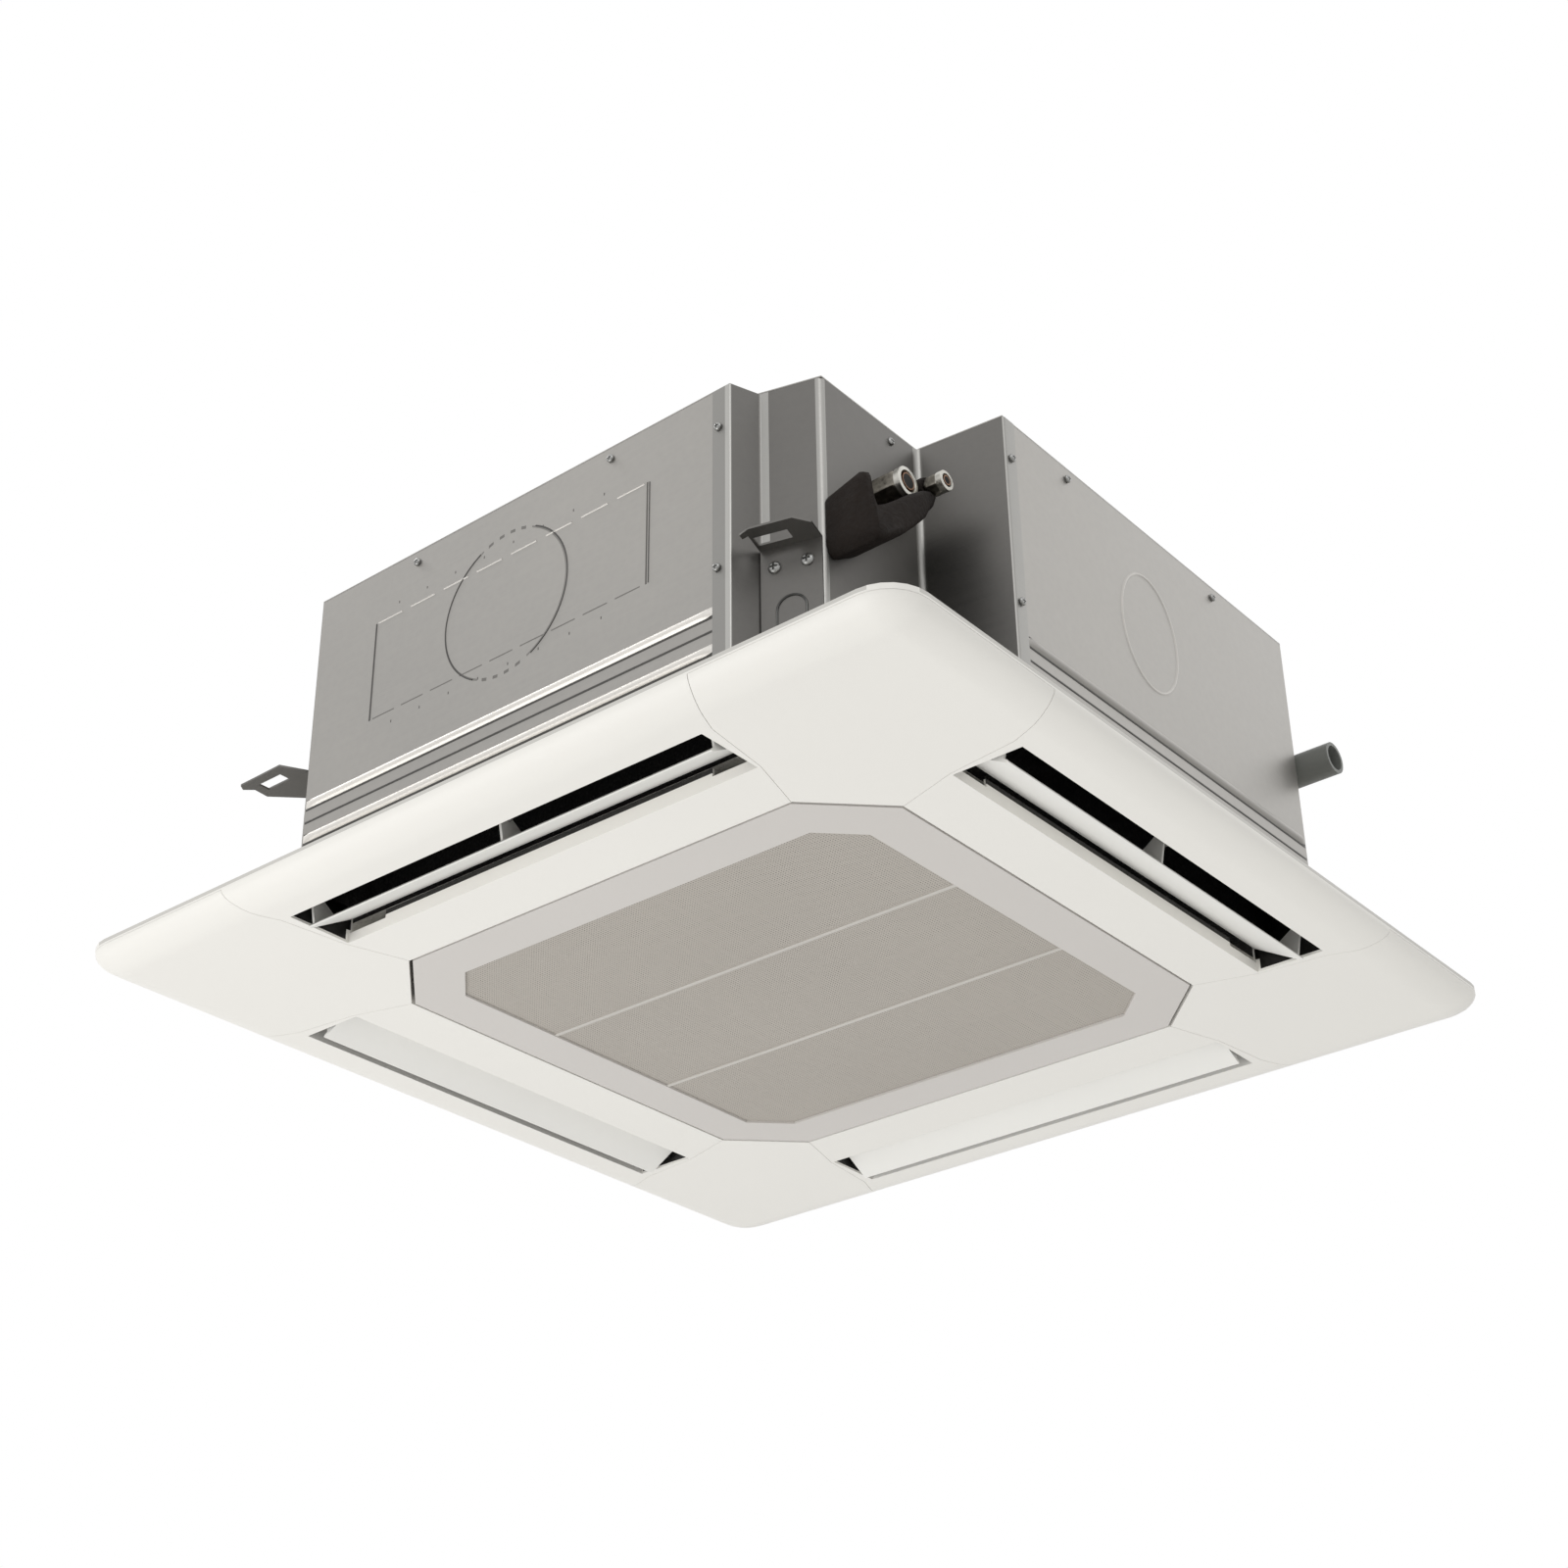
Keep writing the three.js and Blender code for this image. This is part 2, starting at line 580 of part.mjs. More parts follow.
function buildFan() {
  const bore = shaftRadius + seat;
  const hub = turned([[bore, hubFloor], [16, hubFloor], [16, hubFloor + 12], [60, hubFloor + 16],
    [86, hubFloor + 28], [97, fanRoof - 5], [103, fanRoof], [fanRadius, fanRoof],
    [fanRadius, fanRoof + fanSkin], [101, fanRoof + fanSkin], [94, fanRoof - 3],
    [83, hubFloor + 31], [58, hubFloor + 19], [bore, hubFloor + 19], [bore, hubFloor]], 32);
  const lip = [[0, 0], [4, 11], [16, 21], [39, 30], [fanRing, 36]];
  const lipOut = [1.06, 0.85, 0.52, 0.27, 0]; // shares of the skin by which the lower side stands off
  const lipDown = [0, 0.6, 0.87, 0.97, 1.01];
  const shroudLow = lip.map(([r, z], i) => [
    fanEye + r + lipOut[i] * fanSkin,
    fanFloor + z - lipDown[i] * fanSkin,
  ]);
  const shroudTop = lip.map(([r, z]) => [fanEye + r, fanFloor + z]).reverse();
  add('fan_shroud', turned([...shroudLow, ...shroudTop, shroudLow[0]], 32), darkPlastic());
  const clear = shroudTop.map(([r, z]) => [r, z + seat * Math.SQRT2]);
  const belowShroud = turned([[0, fanFloor - 5], [fanRadius + 20, fanFloor - 5],
    [fanRadius + 20, clear[0][1]], ...clear, [0, fanFloor]], 32);
  let wheel = hub;
  const bladeSteps = 5;
  const start = fanEye + 8;
  const end = fanRadius - 2;
  for (let blade = 0; blade < bladeCount; blade += 1) {
    const line = [];
    for (let i = 0; i <= bladeSteps; i += 1) {
      const t = i / bladeSteps;
      const radius = start + (end - start) * t;
      const angle = (2 * Math.PI * blade) / bladeCount + 0.62 * t;
      line.push([radius * Math.cos(angle), radius * Math.sin(angle)]);
    }
    const sides = [...line];
    for (let i = bladeSteps; i >= 0; i -= 1) {
      const radius = Math.hypot(...line[i]);
      const angle = Math.atan2(line[i][1], line[i][0]) + bladeThickness / radius;
      sides.push([radius * Math.cos(angle), radius * Math.sin(angle)]);
    }
    wheel = wheel.add(slab(sides, fanFloor, fanRoof + 1).subtract(belowShroud));
  }
  add('fan_impeller', wheel, darkPlastic());
}

function buildBellMouth() {
  const plateTop = bodyFloor - seat;
  const plateLow = plateTop - bellPlate;
  const rise = throatTop - plateLow;
  const reach = bellHalf;
  const curve = [[0.66, 0.09], [0.33, 0.26], [0.11, 0.51], [0, 0.8], [0, 1]];
  const flare = bellRadius - throatRadius;
  const inner = curve.map(([r, z]) => [throatRadius + flare * r, plateLow + rise * z]);
  const outer = inner.map(([r, z]) => [r + bellSkin, Math.min(z + bellSkin / 2, throatTop)]);
  const rim = [[bellRadius, plateLow], [2 * reach, plateLow], [2 * reach, plateTop],
    [bellRadius + bellSkin, plateTop]];
  const bell = turned([...rim, ...outer, ...inner.reverse(), rim[0]], 32);
  const outline = slab(chamferedSquare(reach, 60), plateLow - 1, throatTop + 1)
    .subtract(box(-reach - 1, slide - boxInnerEdge, -reach, reach, plateLow - 2, throatTop + 2));
  add('bell_mouth', bell.intersect(outline), ductBlack());
}

// ---- control box ----
function buildControls() {
  const inner = -boxInnerEdge;
  const outer = inner - boxDepth;
  const y = boxLength / 2;
  const roof = boxFloor + boxHeight;
  const shell = box(outer, inner, -y, y, boxFloor, roof)
    .subtract(box(outer + sheet, inner - sheet, -y + sheet, y - sheet, boxFloor - 1, roof - sheet));
  add('control_box', shell, galvanised());
  add('control_box_lid', box(outer, inner, -y, y, boxFloor - seat - 1.5, boxFloor - seat), galvanised());
  const ceiling = roof - sheet - seat;
  const boardLow = ceiling - 8;
  let board = box(outer + 12, inner - 12, -y + 14, y - 110, boardLow, boardLow + 1.6);
  const legs = [[outer + 18, -y + 20], [inner - 18, -y + 20], [outer + 18, y - 116], [inner - 18, y - 116]];
  legs.forEach(([px, py]) => {
    board = board.add(rod(3, px, py, boardLow + 1, ceiling, 10));
  });
  board = board.add(box(outer + 22, outer + 58, -y + 30, -y + 66, boardLow - 22, boardLow + 0.5));
  board = board.add(rod(9, inner - 30, -y / 3, boardLow - 20, boardLow + 0.5, 16));
  board = board.add(rod(7, inner - 34, -y / 6, boardLow - 16, boardLow + 0.5, 16));
  add('control_board', board, finish(0x2f6b45, 0.6, 0));
  const block = box(outer + 30, outer + 56, y - 100, y - 20, ceiling - 18, ceiling);
  add('terminal_block', block, darkPlastic());
}

// ---- refrigerant pipes ----
function buildPipes() {
  const start = coilEnd + seat + endPlate + seat;
  const coilMiddle = -(coilOuter - coilThickness / 2);
  const gasEnd = notchWallX + gasReach;
  const bendEnd = notchWallX - foamInner - gasRadius;
  const gas = tube([[start, coilMiddle - 6, gasHeight + 44], [start + 14, coilMiddle - 6, gasHeight + 44],
    [start + 44, (coilMiddle + gasY) / 2, gasHeight + 22], [bendEnd - 4, gasY, gasHeight],
    [bendEnd, gasY, gasHeight], [notchWallX, gasY, gasHeight], [gasEnd, gasY, gasHeight]], gasRadius, 28);
  add('gas_pipe', gas, copper());
  const liquidEnd = notchWallX + liquidReach;
  const liquidLow = liquidHeight - 90;
  const liquid = tube([[start, coilMiddle + 8, liquidLow], [start + 16, coilMiddle + 8, liquidLow],
    [start + 40, (coilMiddle + liquidY) / 2 + 3, liquidHeight - 45], [bendEnd - 4, liquidY, liquidHeight],
    [bendEnd, liquidY, liquidHeight], [notchWallX, liquidY, liquidHeight],
    [liquidEnd, liquidY, liquidHeight]], liquidRadius, 28, 8);
  add('liquid_pipe', liquid, copper());
  add('gas_flare_nut', flareNut(gasEnd, gasY, gasHeight, gasRadius, 12.5, 22), brass());
  add('liquid_flare_nut', flareNut(liquidEnd, liquidY, liquidHeight, liquidRadius, 9, 18), brass());

  const wall = notchWallX + seat;
  const underGas = gasHeight - gasRadius - 3;
  const farSide = liquidY + 24;
  const roofline = [[gasY - 20, underGas - 5], [farSide, underGas], [farSide, underGas - 11],
    [gasY, underGas - 33]];
  const inside = [[coverNear, coverFoot], [coverNear, underGas - 13], ...roofline];
  const nose = [[gasY - 32, coverFoot + 18], [gasY - 32, underGas - 15], ...roofline];
  const cover = section(inside, wall, wall + coverReach)
    .add(section(nose, wall + coverReach - 1, wall + coverNose));
  add('pipe_cover', cover, ductBlack());
}

function flareNut(end, y, z, boreRadius, radius, length) {
  const hexagon = new THREE.CylinderGeometry(radius, radius, length, 6).rotateZ(Math.PI / 2);
  return solid(hexagon.translate(end - length / 2, y, z))
    .add(rodX(radius + 0.8, end - 4, end, y, z))
    .subtract(rodX(boreRadius + seat, end - length - 1, end + 1, y, z, 16));
}

// ---- decoration panel ----
const bevel = [[0, 1], [0, 0], [1.2, -3.6], [5, -7.6], [11, -11.2], [19, -14.4], [27, -16.4],
  [34, -17]];

function roundedSquare(reach, radius, steps = 6) {
  const points = [];
  [[1, -1], [1, 1], [-1, 1], [-1, -1]].forEach(([sx, sy], corner) => {
    for (let i = 0; i <= steps; i += 1) {
      const angle = -Math.PI / 2 + ((corner + i / steps) * Math.PI) / 2;
      points.push([
        sx * (reach - radius) + radius * Math.cos(angle),
        sy * (reach - radius) + radius * Math.sin(angle),
      ]);
    }
  });
  return points;
}

// The panel's outer form, shrunk inward by a skin thickness, from a top height down to its flat face.
function panelForm(skin, top) {
  const depth = panelDrop - rimHeight;
  const rings = bevel.map(([run, fall], i) => {
    const scaled = (fall * depth) / 17;
    if (i === 0) return [skin, top];
    if (i === 1) return [skin, -rimHeight + skin * 0.1];
    const share = Math.min(1, run / 20);
    return [run + skin * (1 - share * 0.75), -rimHeight + scaled + skin * share];
  });
  const outline = rings.map(([run, z]) => [
    roundedSquare(panelHalf - run, Math.max(panelCornerRadius - run, 6)),
    z,
  ]);
  const count = outline[0][0].length;
  const positions = [];
  outline.forEach(([ring, z]) => ring.forEach(([x, y]) => positions.push(x, y, z)));
  const faces = [];
  for (let level = 0; level + 1 < outline.length; level += 1) {
    for (let i = 0; i < count; i += 1) {
      const a = level * count + i;
      const b = level * count + ((i + 1) % count);
      faces.push(a, a + count, b, b, a + count, b + count);
    }
  }
  const rim = outline[0][0].map(([x, y]) => new THREE.Vector2(x, y));
  const cap = THREE.ShapeUtils.triangulateShape(rim, []);
  const last = (outline.length - 1) * count;
  cap.forEach(([a, b, c]) => {
    faces.push(a, b, c);
    faces.push(last + c, last + b, last + a);
  });
  const geometry = new THREE.BufferGeometry();
  geometry.setAttribute('position', new THREE.Float32BufferAttribute(positions, 3));
  geometry.setIndex(faces);
  return solid(geometry);
}

// Corner cover outline at the piping corner: seams run from the rim past both outlet ends to the grille.
function coverPlan(turn) {
  const end = outletLength / 2;
  const near = intakeHalf - intakeChamfer;
  const rim = panelHalf + 5;
  const seam = [[end + 34, -rim], [end + 11, -outletOuter], [end + 3, -outletInner],
    [near - 1, 1 - intakeHalf]];
  const mirrored = seam.map(([x, y]) => [-y, -x]).reverse();
  const plan = [...seam, ...mirrored, [rim, -rim]].reverse();
  const angle = (turn * Math.PI) / 2;
  return plan.map(([x, y]) => [
    x * Math.cos(angle) - y * Math.sin(angle),
    x * Math.sin(angle) + y * Math.cos(angle),
  ]);
}

function outletDuct() {
  const x = outletLength / 2;
  const low = panelFace + 1;
  const lipTop = ductTop - lipDrop;
  let duct = box(-x - ductWall, x + ductWall, -outletOuter - ductWall, -outletOuter + 1, low, ductTop);
  duct = duct.add(box(-x - ductWall, x + ductWall, -outletInner - 1, -outletInner + ductWall, low, lipTop));
  [-1, 1].forEach((end) => {
    const wall = box(x - 1, x + ductWall, -outletOuter - ductWall, -outletInner + ductWall, low, ductTop);
    duct = duct.add(end > 0 ? wall : wall.mirror([1, 0, 0]));
    const pocket = box(x - pocketLength, x - 1, -outletInner - 2, -outletInner + ductWall + 1,
      lipTop - pocketDrop, lipTop + 1);
    duct = duct.subtract(end > 0 ? pocket : pocket.mirror([1, 0, 0]));
  });
  return duct;
}

function outletCut() {
  const x = outletLength / 2;
  return box(-x, x, -outletOuter, -outletInner, panelFace - 5, ductTop + 5)
    .add(rodX(pinRadius + seat, -x - 5, x + 5, pivotY, pivotHeight, 16));
}

// Bearing post that carries the middle of the vane, hung from the outer wall of the duct.
function middleBearing() {
  const near = armThickness / 2 + slide + 1;
  const reach = 5;
  return box(near, near + 4, pivotY - reach, pivotY + reach, pivotHeight - reach, ductTop)
    .add(box(near, near + 4, -outletOuter - 1, pivotY, ductTop - 4, ductTop))
    .subtract(rodX(pinRadius + seat, near - 1, near + 5, pivotY, pivotHeight, 16));
}

function hingeEar(x) {
  const axisY = intakeHalf - hingeInset;
  const [left, right] = [x - earWidth / 2, x + earWidth / 2];
  const stem = earRadius - 0.2;
  return rodX(earRadius, left, right, axisY, hingeHeight, 16)
    .add(box(left, right, axisY - stem, axisY + stem, hingeHeight, 0))
    .add(box(left, right, axisY, intakeHalf + 1, -4, 0))
    .subtract(rodX(hingePin + seat, left - 1, right + 1, axisY, hingeHeight, 12));
}

function buildPanel() {
  const outer = panelForm(0, 0);
  let frame = outer.subtract(panelForm(panelSkin, 1));
  const underCover = panelForm(coverSkin + seat, 2);
  const rimCut = -rimHeight - seat;
  const wall = slab(chamferedSquare(intakeHalf + ductWall, intakeChamfer), panelFace, 0)
    .subtract(slab(chamferedSquare(intakeHalf, intakeChamfer), panelFace - 1, 1));
  frame = frame.add(wall);
  const postReach = intakeHalf + 10.5;
  [[1, 1], [-1, 1], [-1, -1], [1, -1]].forEach(([sx, sy]) => {
    const foot = panelFace + panelSkin - 1;
    frame = frame.add(rod(8, sx * postReach, sy * postReach, foot, ductTop, 14));
  });
  for (let turn = 0; turn < 4; turn += 1) {
    frame = frame.add(outletDuct().rotate([0, 0, 90 * turn]));
  }
  const intake = slab(chamferedSquare(intakeHalf, intakeChamfer), panelFace - 5, 5);
  frame = frame.subtract(intake);
  for (let turn = 0; turn < 4; turn += 1) {
    frame = frame.subtract(outletCut().rotate([0, 0, 90 * turn]));
    const seatPlan = inset(coverPlan(turn), -coverSeam / 2);
    frame = frame.subtract(slab(seatPlan, panelFace - 5, rimCut).subtract(underCover));
    frame = frame.add(middleBearing().rotate([0, 0, 90 * turn]));
  }
  frame = frame.add(hingeEar(-hingeOffset)).add(hingeEar(hingeOffset));
  add('panel_frame', frame, panelWhite());

  const skin = outer.subtract(panelForm(coverSkin, 1)).subtract(intake);
  const names = ['piping', 'drain', 'far', 'left'];
  names.forEach((name, turn) => {
    const plan = inset(coverPlan(turn), coverSeam / 2);
    const cover = skin.intersect(slab(plan, panelFace - 5, rimCut - seat));
    add(`corner_cover_${name}`, cover, panelWhite());
  });
}

// ---- vanes ----
function vaneSolid() {
  const halfLength = vaneLength / 2;
  const t = vaneThickness / 2;
  const outerY = -pivotSetback;
  const innerY = vaneChord - pivotSetback;
  const blade = section([[outerY, -pivotRise - 0.4], [outerY + 2, -pivotRise - t],
    [innerY - 2, -pivotRise - t], [innerY, -pivotRise - 0.4], [innerY, -pivotRise + 0.4],
    [innerY - 2, -pivotRise + t], [outerY + 2, -pivotRise + t], [outerY, -pivotRise + 0.4]],
  -halfLength, halfLength);
  const armPlan = [[-13, -pivotRise], [17, -pivotRise], [4.5, 3], [0, 5], [-4.5, 3]];
  let vane = blade;
  [-halfLength, -armThickness / 2, halfLength - armThickness].forEach((x) => {
    vane = vane.add(section(armPlan, x, x + armThickness));
  });
  const pinReach = outletLength / 2 + ductWall * 0.7;
  vane = vane.add(rodX(pinRadius, -pinReach, -halfLength + 1, 0, 0, 16));
  vane = vane.add(rodX(pinRadius, halfLength - 1, pinReach, 0, 0, 16));
  return vane.add(rodX(pinRadius, 0, armThickness / 2 + slide + 5, 0, 0, 16));
}

function vaneMotor() {
  const face = outletLength / 2 + ductWall + seat;
  const low = panelFace + panelSkin + seat;
  return box(face, face + 18, pivotY - 11, pivotY + 11, low, pivotHeight + 9);
}

function buildVanes() {
  ['a', 'b', 'c', 'd'].forEach((side, turn) => {
    const place = new THREE.Group();
    place.rotation.z = (turn * Math.PI) / 2;
    const pivot = new THREE.Group();
    pivot.position.set(0, pivotY, pivotHeight);
    pivot.rotation.x = (vaneOpen * Math.PI) / 180;
    place.add(pivot);
    unit.add(place);
    add(`vane_${side}`, vaneSolid(), panelWhite(), pivot);
    add(`vane_motor_${side}`, vaneMotor(), greyPlastic(), place);
  });
}

// ---- intake grille, lattice, filter and catches ----
function buildGrille() {
  const top = panelFace + grilleSkin;
  const axisY = intakeHalf - hingeInset;
  const octagon = (reach, chamfer, low, high) => slab(chamferedSquare(reach, chamfer), low, high);
  const ring = octagon(grilleHalf, intakeChamfer, panelFace, top)
    .subtract(octagon(meshWidth / 2, meshChamfer, panelFace - 1, top + 1));
  const ribTop = top + grilleRib;
  let rim = octagon(grilleHalf, intakeChamfer, top - 0.5, ribTop)
    .subtract(octagon(grilleHalf - 3, intakeChamfer, top - 1, ribTop + 1));
  const ledge = octagon(filterWidth / 2 + 4, meshChamfer, top - 0.5, ribTop)
    .subtract(octagon(filterWidth / 2 + 1, meshChamfer, top - 1, ribTop + 1));
  [-1, 1].forEach((side) => {
    const x = side * hingeOffset;
    rim = rim.subtract(box(x - 12, x + 12, grilleHalf - 5, grilleHalf + 1, top, ribTop + 1));
    const c = side * catchOffset;
    rim = rim.subtract(box(c - 17, c + 17, -grilleHalf - 1, -grilleHalf + 5, top, ribTop + 1));
  });
  let grille = ring.add(rim).add(ledge);
  [-1, 1].forEach((side) => {
    const x = side * hingeOffset;
    const inner = earWidth / 2 + slide;
    const room = earRadius + slide;
    grille = grille.subtract(box(x - inner, x + inner, axisY - room, grilleHalf + 1,
      hingeHeight - earRadius - 0.4, ribTop + 1));
    const lugEnd = inner + lugWidth;
    const lugs = box(x - lugEnd, x + lugEnd, axisY - room, axisY + room, top - 1, hingeHeight + 2)
      .subtract(box(x - inner, x + inner, axisY - 2 * room, axisY + 2 * room, top - 2, hingeHeight + 3));
    grille = grille.add(lugs).add(rodX(hingePin, x - inner - 1, x + inner + 1, axisY, hingeHeight, 12));
  });
  add('grille_frame', grille, grilleGrey());

  const latticeLow = top + seat;
  const latticeHalf = meshWidth / 2 + 6;
  let lattice = octagon(latticeHalf, meshChamfer + 2, latticeLow, latticeLow + latticeThickness);
  const slotPitch = (meshWidth - latticeBar) / latticeColumns;
  const bandHeight = (meshWidth - 2 * bandRib - 4 * latticeBar) / 3;
  for (let column = 0; column < latticeColumns; column += 1) {
    const x0 = -meshWidth / 2 + latticeBar + column * slotPitch;
    const x1 = x0 + slotPitch - latticeBar;
    for (let band = 0; band < 3; band += 1) {
      const y0 = -meshWidth / 2 + latticeBar + band * (bandHeight + bandRib + latticeBar);
      const y1 = y0 + bandHeight;
      const middle = (y0 + y1) / 2;
      [[y0, middle - latticeBar / 2], [middle + latticeBar / 2, y1]].forEach(([low, high]) => {
        const farX = Math.max(Math.abs(x0), Math.abs(x1));
        const limit = meshWidth - meshChamfer - latticeBar - farX;
        const y2 = Math.max(low, -limit);
        const y3 = Math.min(high, limit);
        if (y3 - y2 < latticeBar) return;
        lattice = lattice.subtract(box(x0, x1, y2, y3, latticeLow - 1, latticeLow + latticeThickness + 1));
      });
    }
  }
  add('grille_lattice', lattice, meshGrey());

  const filterLow = latticeLow + latticeThickness + seat;
  const filterHalf = filterWidth / 2;
  let filter = octagon(filterHalf, meshChamfer, filterLow, filterLow + filterThickness + 1);
  filter = filter.subtract(octagon(filterHalf - 8, meshChamfer, filterLow + filterThickness, filterLow + 9));
  [-1, 0, 1].forEach((bar) => {
    const x = (bar * filterWidth) / 4;
    const rib = box(x - 3, x + 3, -filterHalf + 4, filterHalf - 4,
      filterLow + 1, filterLow + filterThickness + 1);
    filter = filter.add(rib);
  });
  add('air_filter', filter, darkPlastic());

  const catchBack = -grilleHalf + 26;
  [-1, 1].forEach((side, i) => {
    const c = side * catchOffset;
    const bolt = box(c - 15, c + 15, -grilleHalf + catchTravel + 2, catchBack, top + seat, top + 4)
      .add(box(c - 10, c + 10, -grilleHalf + slide, -grilleHalf + catchTravel + 3, top + seat, top + 3))
      .add(box(c - 3, c + 3, catchBack - 6, catchBack, top + 3, ribTop));
    add(`grille_catch_${i + 1}`, bolt, panelWhite());
  });
}

buildCasing();
buildBrackets();
buildCoil();
buildDrain();
buildMotor();
buildFan();
buildBellMouth();
buildControls();
buildPipes();
buildPanel();
buildVanes();
buildGrille();

export default unit;
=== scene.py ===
import bmesh
import bpy
import numpy as np
from mathutils import Matrix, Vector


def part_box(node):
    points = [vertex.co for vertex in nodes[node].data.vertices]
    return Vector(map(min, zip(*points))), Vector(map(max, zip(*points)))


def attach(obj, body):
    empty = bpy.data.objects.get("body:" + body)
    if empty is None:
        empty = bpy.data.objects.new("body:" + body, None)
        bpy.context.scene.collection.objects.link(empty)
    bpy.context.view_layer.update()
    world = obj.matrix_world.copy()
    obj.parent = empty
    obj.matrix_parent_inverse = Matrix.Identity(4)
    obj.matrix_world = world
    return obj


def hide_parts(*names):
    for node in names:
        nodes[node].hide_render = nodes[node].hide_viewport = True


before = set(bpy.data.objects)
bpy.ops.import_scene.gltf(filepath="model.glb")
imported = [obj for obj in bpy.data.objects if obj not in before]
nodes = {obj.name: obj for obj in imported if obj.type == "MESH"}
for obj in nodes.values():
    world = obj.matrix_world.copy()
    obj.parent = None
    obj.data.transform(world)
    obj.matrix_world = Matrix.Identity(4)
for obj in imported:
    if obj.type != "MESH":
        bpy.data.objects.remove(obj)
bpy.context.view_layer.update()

# ---- The viewpoint: a person in the room below, looking up at the corner that holds the pipes ----
# Places are in metres from the point between the four hanging brackets; the ceiling is 0.148 below it.
# The lens and the turn were worked out from straight edges of the cassette.
CEILING = -0.148
EYE = (1.3761, -1.7216, -1.2111)
TURN, LIFT, ROLL = np.radians((38.99, 29.97, -0.83))
LENS = 59.08

ahead = np.array((-np.sin(TURN) * np.cos(LIFT), np.cos(TURN) * np.cos(LIFT), np.sin(LIFT)))
right = np.cross(ahead, (0, 0, 1))
right = right / np.linalg.norm(right)
above = np.cross(right, ahead)
right, above = (np.cos(ROLL) * right + np.sin(ROLL) * above,
                np.cos(ROLL) * above - np.sin(ROLL) * right)


def stand(side, up, back, place):
    """The matrix of a thing at place whose own x, y and z axes point along side, up and back."""
    rows = zip(np.column_stack((side, up, back)), place)
    return Matrix([(*row, spot) for row, spot in rows] + [(0, 0, 0, 1)])


eye = bpy.data.objects.new("eye", bpy.data.cameras.new("eye"))
eye.data.lens = LENS
eye.matrix_world = stand(right, above, -ahead, EYE)
bpy.context.scene.collection.objects.link(eye)
bpy.context.scene.camera = eye
bpy.context.scene.view_settings.view_transform = "Standard"


# ---- The room: soft white light from all round and a pale floor 2.7 m under the ceiling ----
# The world and the lamps stay at a plain level, so a finish shows about as its colour is written.
# A high front lamp and a high left lamp light the folds of the steel; painted highlights add bright lines.
class Value:
    """One output of a finish's nodes. Arithmetic and comparisons on it add Math nodes."""

    def __init__(self, finish, output):
        self.finish = finish
        self.output = output

    def maths(self, operation, *values):
        return self.finish.node("ShaderNodeMath", {"operation": operation}, *values)

    def __add__(self, other):
        return self.maths("ADD", self, other)

    def __sub__(self, other):
        return self.maths("SUBTRACT", self, other)

    def __rsub__(self, other):
        return self.maths("SUBTRACT", other, self)

    def __mul__(self, other):
        return self.maths("MULTIPLY", self, other)

    def __pow__(self, other):
        return self.maths("POWER", self, other)

    def __lt__(self, other):
        return self.maths("LESS_THAN", self, other)

    def __gt__(self, other):
        return self.maths("GREATER_THAN", self, other)

    def __abs__(self):
        return self.maths("ABSOLUTE", self)

    def __or__(self, other):
        return self.maths("MAXIMUM", self, other)

    def __and__(self, other):
        return self.maths("MINIMUM", self, other)

    __radd__ = __add__
    __rmul__ = __mul__


def linear(colour, share=1.0):
    """A share of a colour of 0 to 255 as the eye sees it, turned into the light it sends back."""
    part = np.array(colour, float) * share / 255
    return (*np.where(part <= 0.04045, part / 12.92, ((part + 0.055) / 1.055) ** 2.4), 1.0)


class Finish:
    """A node tree and the one method that adds nodes to it."""

    def __init__(self, tree):
        self.tree = tree

    def node(self, kind, settings, *values, output=0, **named):
        made = self.tree.nodes.new(kind)
        for setting, value in settings.items():
            setattr(made, setting, value)
        for key, value in [*enumerate(values), *named.items()]:
            socket = made.inputs[key.replace("_", " ") if isinstance(key, str) else key]
            if isinstance(value, Value):
                self.tree.links.new(value.output, socket)
            elif value is not None:
                socket.default_value = value
        return Value(self, made.outputs[output]) if made.outputs else None


def world_light(level):
    """White where it is looked at or mirrored, and level on matt surfaces."""
    world = bpy.data.worlds.new("soft_room")
    world.use_nodes = True
    bpy.context.scene.world = world
    world.node_tree.nodes.clear()
    finish = Finish(world.node_tree)
    seen, mirrored, refracted = (finish.node("ShaderNodeLightPath", {}, output=f"Is {ray} Ray")
                                 for ray in ("Camera", "Glossy", "Transmission"))
    soft = finish.node("ShaderNodeBackground", {}, (1, 0.995, 0.985, 1), level)
    white = finish.node("ShaderNodeBackground", {}, (1, 1, 1, 1), 1.0)
    mixed = finish.node("ShaderNodeMixShader", {}, seen | mirrored | refracted, soft, white)
    finish.node("ShaderNodeOutputWorld", {}, mixed)


def lamp(name, place, aim, width, power):
    """A square soft box at place, facing aim."""
    light = bpy.data.lights.new(name, "AREA")
    light.shape, light.size, light.energy = "SQUARE", width, power
    box = bpy.data.objects.new(name, light)
    bpy.context.scene.collection.objects.link(box)
    back = np.array(place, float) - aim
    back = back / np.linalg.norm(back)
    side = np.cross((0, 0, 1), back)
    side = side / np.linalg.norm(side)
    box.matrix_world = stand(side, np.cross(back, side), back, place)


world_light(0.74)
lamp("key_below", (-1.1, -1.9, -2.1), (0, 0, -0.1), 2.4, 32)
lamp("front_high", (2.0, -2.1, 1.7), (0.1, -0.1, 0.1), 0.9, 8)
lamp("left_high", (-2.0, -0.3, 2.4), (0, -0.2, 0), 1.3, 20)
lamp("back_high", (1.4, 2.4, 2.0), (0, 0, 0), 1.6, 4)


